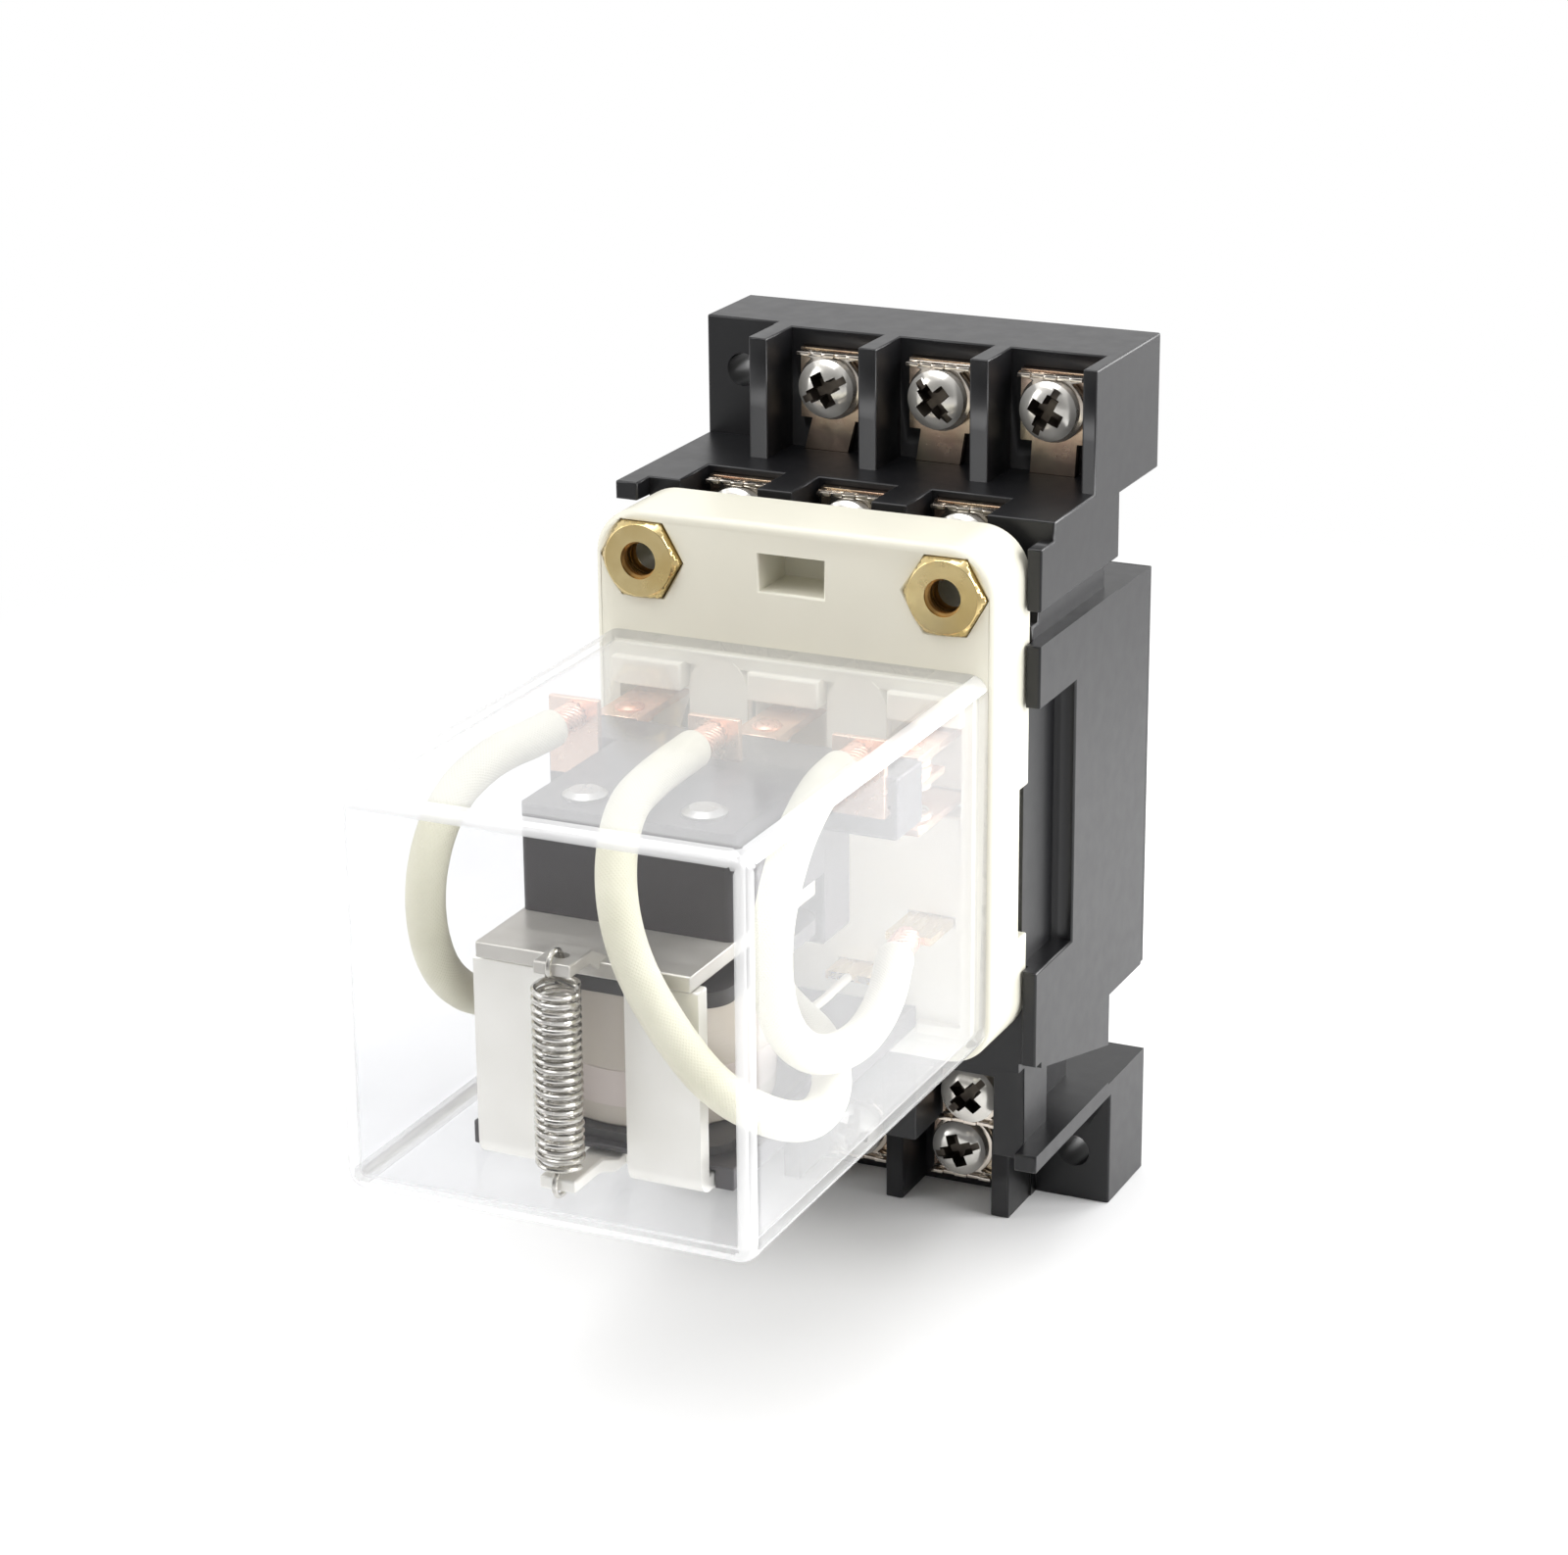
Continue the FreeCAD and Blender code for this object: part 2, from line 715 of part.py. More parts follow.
def yoke_plate(fit):
    """Folded steel: a floor under the coil, two front legs, and a tongue that holds the spring."""
    low = frame_low_z + magnet_fit
    top = low + yoke_floor + fit
    half = yoke_width / 2 + fit
    back_half = yoke_back_width / 2 + fit
    slot = yoke_slot / 2 - fit
    back_out = coil_out - bobbin_side / 2 + yoke_back_inset - fit
    floor = box(-back_half, back_half, back_out, yoke_out, low - fit, top)
    if fit > 0:
        wide = box(-half, half, coil_out + core, yoke_out, low - fit, top)
        return join([floor, wide])
    wide = box(-half, half, coil_out + core, yoke_out, low, top)
    leg = box(-half, half, hinge_out, yoke_out, low, yoke_top_z)
    folded = join([floor, wide, leg])
    bend = straight_edges(folded, Vector(1, 0, 0),
                          lambda middle: abs(middle.y + yoke_out) < 1e-6 and abs(middle.z - low) < 1e-6)
    folded = folded.makeFillet(yoke_bend, bend)
    folded = folded.cut(box(-slot, slot, hinge_out - yoke, yoke_out + over, low - over, yoke_top_z + over))
    tongue_z = spring_bottom_z - spring_wire - spring_loop / 2
    tip_out = heel_tip_out()
    wide = heel_width / 2
    half_thick = heel_thick / 2
    root_out = hinge_out - 2 * yoke
    bend_out = hinge_out + heel_bend_length
    outline = [(root_out, low), (hinge_out, low), (bend_out, tongue_z - half_thick),
               (tip_out, tongue_z - half_thick), (tip_out, tongue_z + half_thick),
               (bend_out - half_thick, tongue_z + half_thick),
               (hinge_out - half_thick, low + heel_thick), (root_out, low + heel_thick)]
    hook = post(0, tip_out - hook_edge, hook_hole / 2, low - over, tongue_z + heel_thick)
    core_hole = post(0, coil_out, core / 2 + magnet_fit / 2, low - over, top + over)
    return join([folded, slab(outline, -wide, wide)]).cut([hook, core_hole])


def bobbin():
    top_z = pole_face_z - pole_face_height - magnet_fit
    side = bobbin_side / 2
    pieces = []
    for z0, z1 in ((frame_high_z, frame_high_z + bobbin_low_flange), (top_z - bobbin_flange, top_z)):
        flange = box(-side, side, coil_out - side, coil_out + side, z0, z1)
        corners = straight_edges(flange, Vector(0, 0, 1), lambda middle: True)
        pieces.append(flange.makeFillet(bobbin_corner, corners))
    pieces.append(post(0, coil_out, core / 2 + magnet_fit + bobbin_wall, frame_high_z, top_z))
    return join(pieces).cut(post(0, coil_out, core / 2 + magnet_fit, frame_high_z - over, top_z + over))


def winding():
    low = frame_high_z + bobbin_low_flange + magnet_fit
    high = pole_face_z - pole_face_height - bobbin_flange - 2 * magnet_fit
    inner = core / 2 + 2 * magnet_fit + bobbin_wall
    return post(0, coil_out, coil_radius, low, high).cut(post(0, coil_out, inner, low - over, high + over))


def magnet_core():
    rod_part = post(0, coil_out, core / 2, frame_low_z + magnet_fit, pole_face_z - pole_face_height)
    cap = post(0, coil_out, pole_face / 2, pole_face_z - pole_face_height, pole_face_z)
    return join([rod_part, cap])


def armature_plate():
    half = armature_width / 2
    flat = box(-half, half, riser_out + armature_back_gap, yoke_out + armature_front_over,
               armature_z, armature_top_z)
    start = yoke_out - over
    bend = start + heel_bend_length
    low = armature_z + heel_rise
    outline = [(start, armature_z), (bend, low), (heel_tip_out(), low), (heel_tip_out(), low + heel_thick),
               (bend - heel_thick / 2, low + heel_thick), (start - over, armature_top_z)]
    heel = slab(outline, -heel_width / 2, heel_width / 2)
    hole = post(0, heel_tip_out() - hook_edge, hook_hole / 2, armature_z - over, low + heel_thick + over)
    rivet_holes = [post(x, out, armature_rivet / 2 + screw_fit, armature_z - over, armature_top_z + over)
                   for x, out in armature_rivet_places()]
    return join([flat, heel]).cut([hole] + rivet_holes)


def armature_rivet_places():
    return [(side * armature_rivet_x, coil_out + armature_rivet_over) for side in (-1, 1)]


def armature_rivets():
    rivets = []
    for x, out in armature_rivet_places():
        shank = post(x, out, armature_rivet / 2, armature_z, carrier_top_z)
        head = domed_head(Vector(x, -out, carrier_top_z), Vector(0, 0, 1), armature_rivet_head / 2,
                          armature_rivet_head_height)
        rivets.append(join([shank, head]))
    return rivets


def moving_contact(x, fit):
    half = moving_blade_width / 2 + fit
    tip = front_out + moving_tip_reach
    flat = box(x - half, x + half, tip, riser_out + fit, moving_z - fit, moving_top_z + fit)
    riser = box(x - half, x + half, riser_out - blade - fit, riser_out + fit, moving_z - fit, riser_high_z)
    if fit > 0:
        return join([flat, riser])
    return join([flat, riser, contact_button(x, lower_button_z, moving_top_z + moving_button)])


def contact_carrier():
    half = carrier_width / 2
    front = coil_out + carrier_front_over
    main = box(-half, half, carrier_back_out, front, armature_top_z, carrier_top_z)
    main = main.makeFillet(carrier_edge, straight_edges(
        main, Vector(0, 0, 1), lambda middle: abs(middle.y + front) < 1e-6))
    low = box(-half, half, carrier_back_out, carrier_low_out, carrier_low_z, armature_top_z + over)
    bar_half = crossbar_width / 2
    bar = box(-bar_half, bar_half, carrier_back_out, carrier_low_out, crossbar_low_z, carrier_top_z)
    cuts = [moving_contact(x, screw_fit) for x in pole_x]
    cuts += [post(x, out, armature_rivet / 2 + screw_fit, armature_z, carrier_top_z + over)
             for x, out in armature_rivet_places()]
    return join([main, low, bar]).cut(cuts)


def swept_square(points, start, across, along, half):
    """A wire of square section, set on its corner, along straight runs with mitred joints."""
    mitred = 1
    corners = [start + across * half, start + along * half, start - across * half, start - along * half]
    section = Part.makePolygon(corners + corners[:1])
    return Part.makePolygon(points).makePipeShell([section], True, True, mitred)


def between(start, end, radius):
    run = end - start
    return Part.makeCylinder(radius, run.Length, start, run)


def return_spring():
    """A close-wound tension spring with a loop at each end. A turn is drawn as short straight runs."""
    wire = spring_wire / 2
    radius = (spring_outer - spring_wire) / 2
    rise = (spring_top_z - spring_bottom_z) / (spring_turns * spring_turn_runs)
    step = 2 * math.pi / spring_turn_runs
    runs = []
    for k in range(spring_turns * spring_turn_runs + 1):
        runs.append(Vector(radius * math.cos(k * step), radius * math.sin(k * step) - spring_out,
                           spring_bottom_z + k * rise))
    pieces = [swept_square(runs, runs[0], Vector(1, 0, 0), Vector(0, 0, 1), wire)]
    loop_radius = spring_loop / 2
    loop_out = spring_out + loop_radius - spring_wire - hook_edge + loop_radius
    for z, way in ((spring_top_z, 1), (spring_bottom_z, -1)):
        middle = z + way * (spring_wire + loop_radius)
        ring = []
        for k in range(spring_turn_runs):
            ring.append(Vector(0, loop_radius * math.cos(k * step) - loop_out,
                               middle + loop_radius * math.sin(k * step)))
        pieces.append(swept_square(ring + ring[:1], ring[0], Vector(0, 1, 0), Vector(1, 0, 0), wire))
        foot = Vector(0, -loop_out, z + way * spring_wire)
        pieces.append(between(Vector(radius, -spring_out, z), foot, wire))
    return pieces[0].multiFuse(pieces[1:])


# Leads: each route starts at a moving contact's riser and ends at a common pin's tail. The points between
# were chosen by eye. Each is x, how far it lies in front of the coil's middle, and z. For the outer leads,
# and for the far end of the middle lead, x is counted from the outer pole.

side_route = [(1.9, 2.5, 23.6), (3.2, 12.0, 20.4), (3.4, 17.7, 11.6), (3.4, 15.5, 0.5),
              (3.4, 6.0, -7.5), (3.4, -7.5, -11.0), (2.3, -19.0, -9.6)]
middle_start = [(0.6, 2.5, 23.7), (1.8, 12.5, 23.4), (4.6, 20.9, 18.0), (7.8, 24.1, 10.2),
                (12.6, 24.1, 2.0)]
middle_end = [(-1.3, 22.1, -6.2), (2.9, 13.9, -12.6), (3.1, 3.5, -16.4), (1.1, -5.9, -15.9),
              (-4.1, -13.9, -13.9)]
middle_tail = [(9.4, -18.5, -13.2), (5.0, -21.7, -11.9), (1.8, -24.3, -9.4)]
wire_route = [(6.8, -21.0, -16.2), (9.1, -27.0, -15.0)]
lead_start_run = 8.5
lead_end_run = 4.0
wire_end_run = 3.0


def from_pole(x, route):
    return [(x + offset, ahead, z) for offset, ahead, z in route]


def lead_points(x, route):
    middle = [Vector(px, -(coil_out + ahead), z) for px, ahead, z in route]
    start = Vector(x, -riser_out, lead_z)
    end = Vector(x, -(front_out + com_tail_reach), com_z)
    return [start, start - Vector(0, lead_start_run, 0)] + middle + [end - Vector(0, lead_end_run, 0), end]


def coil_wires():
    wires = []
    for side in (-1, 1):
        winding_out = coil_out - math.sqrt(coil_radius ** 2 - (coil_wire_x - coil_wire / 2) ** 2)
        flange_z = frame_high_z + bobbin_low_flange
        start = Vector(side * coil_wire_x, -winding_out + coil_wire_clear,
                       flange_z + coil_wire_clear + coil_wire / 2)
        middle = [Vector(side * x, -(coil_out + ahead), z) for x, ahead, z in wire_route]
        end = Vector(side * pole_pitch / 2, -(front_out + coil_tail_reach), coil_z)
        wires.append(tube([start] + middle + [end - Vector(0, wire_end_run, 0), end], coil_wire, "coil wire"))
    return wires


os.makedirs("parts", exist_ok=True)

save("socket_body", socket_body())
save("socket_back_plate", socket_back_plate())
save("socket_rivets", Part.makeCompound(socket_rivets()))
clamps = []
for name, x_pin, z_pin, x_cell, z_cell, deep in terminals:
    save("strip_" + name, terminal_strip(x_pin, z_pin, x_cell, z_cell, deep, 0))
    save("screw_" + name, terminal_screw(x_cell, z_cell, deep))
    clamps.append(terminal_clamp(x_cell, z_cell, deep))
save("terminal_clamps", Part.makeCompound(clamps))

save("relay_base", relay_base())
save("cover", cover())
save("mounting_nuts", Part.makeCompound([mounting_nut(-1), mounting_nut(1)]))
for pole in range(3):
    number = str(pole + 1)
    save("contact_nc_" + number, contact_nc(pole_x[pole], 0))
    save("contact_no_" + number, contact_no(pole_x[pole], 0))
    save("pin_com_" + number, pin_com(pole_x[pole], 0))
    save("moving_contact_" + number, moving_contact(pole_x[pole], 0))
save("pin_coil_1", pin_coil(coil_x[0], 0))
save("pin_coil_2", pin_coil(coil_x[1], 0))

save("magnet_frame", magnet_frame())
save("yoke", yoke_plate(0))
save("bobbin", bobbin())
save("winding", winding())
save("core", magnet_core())
save("armature", armature_plate())
save("armature_rivets", Part.makeCompound(armature_rivets()))
save("contact_carrier", contact_carrier())
save("return_spring", return_spring())

right_route = from_pole(pole_pitch, side_route)
left_route = [(-x, ahead, z) for x, ahead, z in right_route]
middle_route = middle_start + from_pole(pole_pitch, middle_end) + middle_tail
save("lead_1", tube(lead_points(pole_x[0], left_route), lead, "lead_1"))
save("lead_2", tube(lead_points(pole_x[1], middle_route), lead, "lead_2"))
save("lead_3", tube(lead_points(pole_x[2], right_route), lead, "lead_3"))
save("coil_wires", Part.makeCompound(coil_wires()))
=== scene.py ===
# %% [markdown]
# A three-pole power relay stands in its screw-terminal socket. The relay's base is an ivory moulding
# with a clear box over its electromagnet, armature, contacts and three flexible leads. The socket is a
# black moulding with eleven screw terminals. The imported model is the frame: it gives every piece its
# size and place, and this lesson gives each of them its finish.

# %% Load the frame
import json
import math

import bmesh
import bpy
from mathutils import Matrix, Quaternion, Vector

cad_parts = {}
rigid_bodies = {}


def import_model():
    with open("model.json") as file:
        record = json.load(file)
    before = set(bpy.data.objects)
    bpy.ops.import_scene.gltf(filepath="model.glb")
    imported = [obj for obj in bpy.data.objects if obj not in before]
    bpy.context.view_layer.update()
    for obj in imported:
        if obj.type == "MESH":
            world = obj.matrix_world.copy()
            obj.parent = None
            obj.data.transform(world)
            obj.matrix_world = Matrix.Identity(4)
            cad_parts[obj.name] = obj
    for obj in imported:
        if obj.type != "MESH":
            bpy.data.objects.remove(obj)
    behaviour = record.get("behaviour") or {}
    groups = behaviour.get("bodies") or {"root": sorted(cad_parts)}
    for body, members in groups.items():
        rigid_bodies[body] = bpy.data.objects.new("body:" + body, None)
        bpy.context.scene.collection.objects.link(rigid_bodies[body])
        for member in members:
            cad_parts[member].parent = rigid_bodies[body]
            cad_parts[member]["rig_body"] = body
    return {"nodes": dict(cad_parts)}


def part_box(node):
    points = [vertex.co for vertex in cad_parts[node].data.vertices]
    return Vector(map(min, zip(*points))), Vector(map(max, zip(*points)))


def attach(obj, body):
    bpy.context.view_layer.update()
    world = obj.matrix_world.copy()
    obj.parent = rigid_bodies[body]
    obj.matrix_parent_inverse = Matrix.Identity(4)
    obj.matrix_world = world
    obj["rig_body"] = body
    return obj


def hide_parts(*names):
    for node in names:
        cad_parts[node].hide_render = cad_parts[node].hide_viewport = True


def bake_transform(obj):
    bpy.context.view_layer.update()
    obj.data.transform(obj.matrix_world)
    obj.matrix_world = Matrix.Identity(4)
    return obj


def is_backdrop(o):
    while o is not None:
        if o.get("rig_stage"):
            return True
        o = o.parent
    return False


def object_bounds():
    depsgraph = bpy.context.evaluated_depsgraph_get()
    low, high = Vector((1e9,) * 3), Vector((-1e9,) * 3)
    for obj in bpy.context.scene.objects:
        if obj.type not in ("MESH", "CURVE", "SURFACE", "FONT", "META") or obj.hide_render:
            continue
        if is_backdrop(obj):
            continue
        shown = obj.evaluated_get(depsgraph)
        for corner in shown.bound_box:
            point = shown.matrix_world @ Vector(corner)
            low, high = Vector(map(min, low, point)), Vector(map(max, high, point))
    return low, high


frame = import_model()
cad_low, cad_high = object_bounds()
nodes = frame["nodes"]
MM = 0.001

# %% [markdown]
# The camera stands at the photograph's angle: to the right of the relay and a little above it. Its
# place and aim are given in millimetres from the frame's origin, and its roll in degrees. A long lens
# gives the photograph's mild perspective.

# %% Camera
camera_place = Vector((207.2, -498.9, 182.2)) * MM
camera_aim = Vector((-1.19, -52.5, 10.47)) * MM
camera_roll = math.radians(-0.49)
lens = 92.6
sensor_width = 36

camera = bpy.data.objects.new("camera", bpy.data.cameras.new("camera"))
bpy.context.scene.collection.objects.link(camera)
camera.data.lens = lens
camera.data.sensor_width = sensor_width
camera.location = camera_place
camera.rotation_mode = "QUATERNION"
upright = (camera_aim - camera_place).to_track_quat("-Z", "Y")
camera.rotation_quaternion = upright @ Quaternion((0, 0, 1), camera_roll)
bpy.context.scene.camera = camera
bpy.context.scene.view_settings.view_transform = "Standard"
print("camera is", round((camera_aim - camera_place).length, 3), "m from its aim")

# %% [markdown]
# A material here is a small node tree round one Principled shader. These helpers keep each finish
# short: they make the shader, add a noise pattern read from Object coordinates, so that the pattern
# stays on the piece when it moves, and mix values, colours and shaders. The white surround has such a
# tree too, so some of them serve it as well.

# %% Material helpers
def new_finish(name, colour, roughness, metallic=0.0):
    """A material with one Principled shader, and that shader."""
    material = bpy.data.materials.new(name)
    material.use_nodes = True
    shader = material.node_tree.nodes["Principled BSDF"]
    shader.inputs["Base Color"].default_value = (*colour, 1)
    shader.inputs["Roughness"].default_value = roughness
    shader.inputs["Metallic"].default_value = metallic
    return material, shader


def add(owner, kind, **inputs):
    """A new node, with values for the inputs named."""
    node = owner.node_tree.nodes.new(kind)
    for name, value in inputs.items():
        node.inputs[name].default_value = value
    return node


def link(owner, source, target):
    owner.node_tree.links.new(source, target)


def object_noise(material, scale, detail=3.0, stretch=(1, 1, 1)):
    """Noise fixed to the piece. The scale is in patterns to the metre."""
    place = add(material, "ShaderNodeTexCoord")
    mapping = add(material, "ShaderNodeMapping", Scale=stretch)
    noise = add(material, "ShaderNodeTexNoise", Scale=scale, Detail=detail)
    link(material, place.outputs["Object"], mapping.inputs["Vector"])
    link(material, mapping.outputs["Vector"], noise.inputs["Vector"])
    return noise.outputs["Fac"]


def mapped(owner, source, start, end, low=0.0, high=1.0, smooth=False):
    """A value that goes from low to high while its source goes from start to end."""
    ramp = add(owner, "ShaderNodeMapRange")
    if smooth:
        ramp.interpolation_type = "SMOOTHSTEP"
    for label, value in (("From Min", start), ("From Max", end), ("To Min", low), ("To Max", high)):
        ramp.inputs[label].default_value = value
    link(owner, source, ramp.inputs["Value"])
    return ramp.outputs["Result"]


def combined(owner, operation, first, second):
    """Two values put through an operation."""
    node = add(owner, "ShaderNodeMath")
    node.operation = operation
    link(owner, first, node.inputs[0])
    link(owner, second, node.inputs[1])
    return node.outputs[0]


def spread(material, source, low, high):
    """The middle of a pattern, spread over a range of values."""
    return mapped(material, source, 0.3, 0.7, low, high)


def colour_mix(material, share, first, second):
    """A colour between two others."""
    mix = add(material, "ShaderNodeMix")
    mix.data_type = "RGBA"
    colour_inputs = [socket for socket in mix.inputs if socket.type == "RGBA"]
    for socket, colour in zip(colour_inputs, (first, second)):
        socket.default_value = (*colour, 1)
    link(material, share, mix.inputs["Factor"])
    return [socket for socket in mix.outputs if socket.type == "RGBA"][0]


def two_tone(material, shader, source, dark, light):
    """Base colour that wanders between two tones."""
    colour = colour_mix(material, spread(material, source, 0, 1), dark, light)
    link(material, colour, shader.inputs["Base Color"])


def mixed_surface(material, share, first, second):
    """The material's surface, a mix of two shaders."""
    choose = add(material, "ShaderNodeMixShader")
    link(material, share, choose.inputs["Fac"])
    link(material, first, choose.inputs[1])
    link(material, second, choose.inputs[2])
    output = material.node_tree.nodes["Material Output"]
    link(material, choose.outputs["Shader"], output.inputs["Surface"])


def fine_bump(material, shader, source, strength, depth):
    """Small hills and hollows in the surface's shading, to a depth in metres."""
    bump = add(material, "ShaderNodeBump", Strength=strength, Distance=depth)
    link(material, source, bump.inputs["Height"])
    link(material, bump.outputs["Normal"], shader.inputs["Normal"])


# %% [markdown]
# Moulded plastics differ in how they take light. The socket is a hard black thermoset with a dull
# sheen and a faint flow pattern. The base is a warm ivory plastic, smoother. The carrier and the tray
# under the coil are another black, a little browner.

# %% Plastics
grain_depth = 0.02 * MM


def moulded_plastic(name, dark, light, smooth, rough, grain):
    """A plastic with a cloudy colour, a gloss that varies and a fine grain."""
    material, shader = new_finish(name, light, (smooth + rough) / 2)
    two_tone(material, shader, object_noise(material, 60, 4), dark, light)
    gloss = spread(material, object_noise(material, 420, 2), smooth, rough)
    link(material, gloss, shader.inputs["Roughness"])
    fine_bump(material, shader, object_noise(material, grain, 2), 0.2, grain_depth)
    return material


socket_black = moulded_plastic("socket_black", (0.0050, 0.0050, 0.0062), (0.0066, 0.0066, 0.0078),
                               0.33, 0.37, 2600)
sheet_black = moulded_plastic("sheet_black", (0.018, 0.018, 0.019), (0.026, 0.026, 0.027), 0.50, 0.62, 1800)
base_ivory = moulded_plastic("base_ivory", (0.745, 0.722, 0.612), (0.765, 0.742, 0.635), 0.32, 0.38, 2200)
carrier_black = moulded_plastic("carrier_black", (0.050, 0.046, 0.050), (0.062, 0.057, 0.061),
                                0.34, 0.46, 2400)
bobbin_dark = moulded_plastic("bobbin_dark", (0.045, 0.042, 0.043), (0.065, 0.060, 0.060), 0.38, 0.5, 2400)
wire_pale = moulded_plastic("wire_pale", (0.72, 0.70, 0.62), (0.78, 0.76, 0.68), 0.35, 0.45, 3000)
print("plastics made")

# %% [markdown]
# Metals here are plated or bare. Plating keeps the marks of rolling and stamping under it, so their
# roughness follows noise that is stretched along the sheet. Where a plated sheet looks pale from every
# side, part of its shading is plain instead of metallic.

# %% Metals
def sheet_metal(name, dark, light, smooth, rough, stretch=(1, 1, 1), grain=400, metallic=1.0):
    """A metal with a mottled colour and fine marks, long ones where the pattern is stretched."""
    material, shader = new_finish(name, light, (smooth + rough) / 2, metallic)
    two_tone(material, shader, object_noise(material, 160, 4), dark, light)
    brushed = object_noise(material, grain, 4, stretch)
    link(material, spread(material, brushed, smooth, rough), shader.inputs["Roughness"])
    fine_bump(material, shader, brushed, 0.18, grain_depth)
    return material


screw_nickel = sheet_metal("screw_nickel", (0.78, 0.75, 0.69), (0.92, 0.90, 0.86),
                           0.14, 0.26, grain=700, metallic=0.7)
# Painted shade: a dark brown for the faces inside the screws' cross and slot, where shade falls in the
# recess.
recess_painted_shade = sheet_metal("recess_painted_shade", (0.05, 0.042, 0.035), (0.15, 0.13, 0.11), 0.30, 0.50, grain=900)
strip_nickel = sheet_metal("strip_nickel", (0.80, 0.57, 0.47), (0.87, 0.76, 0.58), 0.12, 0.28, grain=500)
terminal_nickel = sheet_metal("terminal_nickel", (0.72, 0.62, 0.52), (0.86, 0.81, 0.74),
                              0.10, 0.24, grain=500)
yoke_nickel = sheet_metal("yoke_nickel", (0.84, 0.825, 0.775), (0.90, 0.885, 0.84),
                          0.30, 0.42, (1, 1, 0.1), 700, 0.45)
core_iron = sheet_metal("core_iron", (0.55, 0.54, 0.52), (0.66, 0.65, 0.62), 0.22, 0.36)
armature_iron = sheet_metal("armature_iron", (0.56, 0.54, 0.50), (0.66, 0.64, 0.60),
                            0.28, 0.42, (0.1, 1, 1), 600, 0.6)
spring_steel = sheet_metal("spring_steel", (0.55, 0.53, 0.48), (0.72, 0.70, 0.66), 0.14, 0.26, grain=1500)
rivet_steel = sheet_metal("rivet_steel", (0.42, 0.41, 0.39), (0.56, 0.55, 0.52), 0.26, 0.40, grain=900)
# Painted shade: a dark brass for the nuts' bores and the crests of their threads, where shade falls inside.
bore_shade_brass = sheet_metal("bore_shade_brass", (0.20, 0.11, 0.035), (0.34, 0.20, 0.07), 0.34, 0.48, grain=900)
nut_brass = sheet_metal("nut_brass", (0.66, 0.50, 0.22), (0.80, 0.66, 0.36), 0.14, 0.28, grain=700)
contact_brass = sheet_metal("contact_brass", (0.80, 0.50, 0.36), (0.92, 0.66, 0.50),
                            0.16, 0.30, (1, 0.1, 1), 700, 0.8)
blade_brass = sheet_metal("blade_brass", (0.74, 0.56, 0.30), (0.84, 0.68, 0.42), 0.20, 0.34, (1, 0.1, 1), 700)
button_silver = sheet_metal("button_silver", (0.76, 0.75, 0.73), (0.88, 0.87, 0.85), 0.18, 0.30)
copper_braid = sheet_metal("copper_braid", (0.70, 0.36, 0.24), (0.90, 0.56, 0.42),
                           0.22, 0.42, grain=2400, metallic=0.8)
print("metals made")

# %% [markdown]
# The clear cover is a thin, hard plastic box. Its flat walls hardly bend the light, so what is behind shows
# straight through them. What makes the box visible is a white veil, thin on a wall that faces the eye and
# thicker on one that turns away, where more of the white surround shines off it. So how far a wall turns
# chooses between an open shader and a pale glossy one. The rounded edges gather light from all round, so
# they get a second finish with a much whiter veil. Facing, from Layer Weight, is the same on both sides of
# a wall, while a Fresnel node would turn the inner sides into mirrors. Glass that bends light was tried as
# well, and its edges turned black.

# %% Clear plastic
def clear_plastic(name, square_on, edge_on, start, end):
    """Clear plastic. Its veil grows from square_on to edge_on as Facing goes from start to end."""
    material, shader = new_finish(name, (0.97, 0.97, 0.97), 0.10)
    shader.inputs["Metallic"].default_value = 0.3
    facing = add(material, "ShaderNodeLayerWeight", Blend=0.5).outputs["Facing"]
    open_way = add(material, "ShaderNodeBsdfTransparent")
    tint = colour_mix(material, facing, (1, 1, 1), (0.93, 0.935, 0.95))
    link(material, tint, open_way.inputs["Color"])
    veil = mapped(material, facing, start, end, square_on, edge_on, smooth=True)
    mixed_surface(material, veil, open_way.outputs["BSDF"], shader.outputs["BSDF"])
    return material


cover_clear = clear_plastic("cover_clear", 0.02, 0.36, 0.40, 0.80)
# Painted highlight: the rounded edges get a much whiter veil that stands in for the light they catch.
cover_edge_highlight = clear_plastic("cover_edge_highlight", 0.50, 0.56, 0.0, 0.9)
print("clear plastic made")

# %% [markdown]
# The sleeves of the leads are woven from fine white thread. The weave follows the sleeve, so it reads the
# sleeve's own UV map: u runs round it and v along it. Two sets of slanted waves cross each other, and
# where they meet the threads stand up. The coil's film shows the turns of wire under it as fine rings.

# %% Woven sleeve and coil film
weave_depth = 0.1 * MM


def slanted_wave(material, uv, angle, scale):
    turn = add(material, "ShaderNodeMapping", Rotation=(0, 0, angle))
    wave = add(material, "ShaderNodeTexWave", Scale=scale, Distortion=0.4)
    link(material, uv, turn.inputs["Vector"])
    link(material, turn.outputs["Vector"], wave.inputs["Vector"])
    return wave.outputs["Fac"]


def woven_sleeve():
    """A soft white sleeve with a crossed weave."""
    material, shader = new_finish("woven_sleeve", (0.86, 0.85, 0.77), 0.62)
    two_tone(material, shader, object_noise(material, 120, 3), (0.66, 0.64, 0.50), (0.73, 0.71, 0.575))
    uv = add(material, "ShaderNodeUVMap")
    uv.uv_map = "sleeve"
    waves = [slanted_wave(material, uv.outputs["UV"], angle, 9.0) for angle in (0.7, -0.7)]
    fine_bump(material, shader, combined(material, "MAXIMUM", *waves), 0.45, weave_depth)
    shader.inputs["Sheen Weight"].default_value = 0.2
    return material


def wrapped_film(name, dark, light):
    """A smooth film with fine rings round it."""
    material, shader = new_finish(name, light, 0.24)
    two_tone(material, shader, object_noise(material, 70, 3, (1, 1, 0.4)), dark, light)
    fine_bump(material, shader, object_noise(material, 160, 2, (0.3, 0.3, 14)), 0.35, weave_depth)
    return material


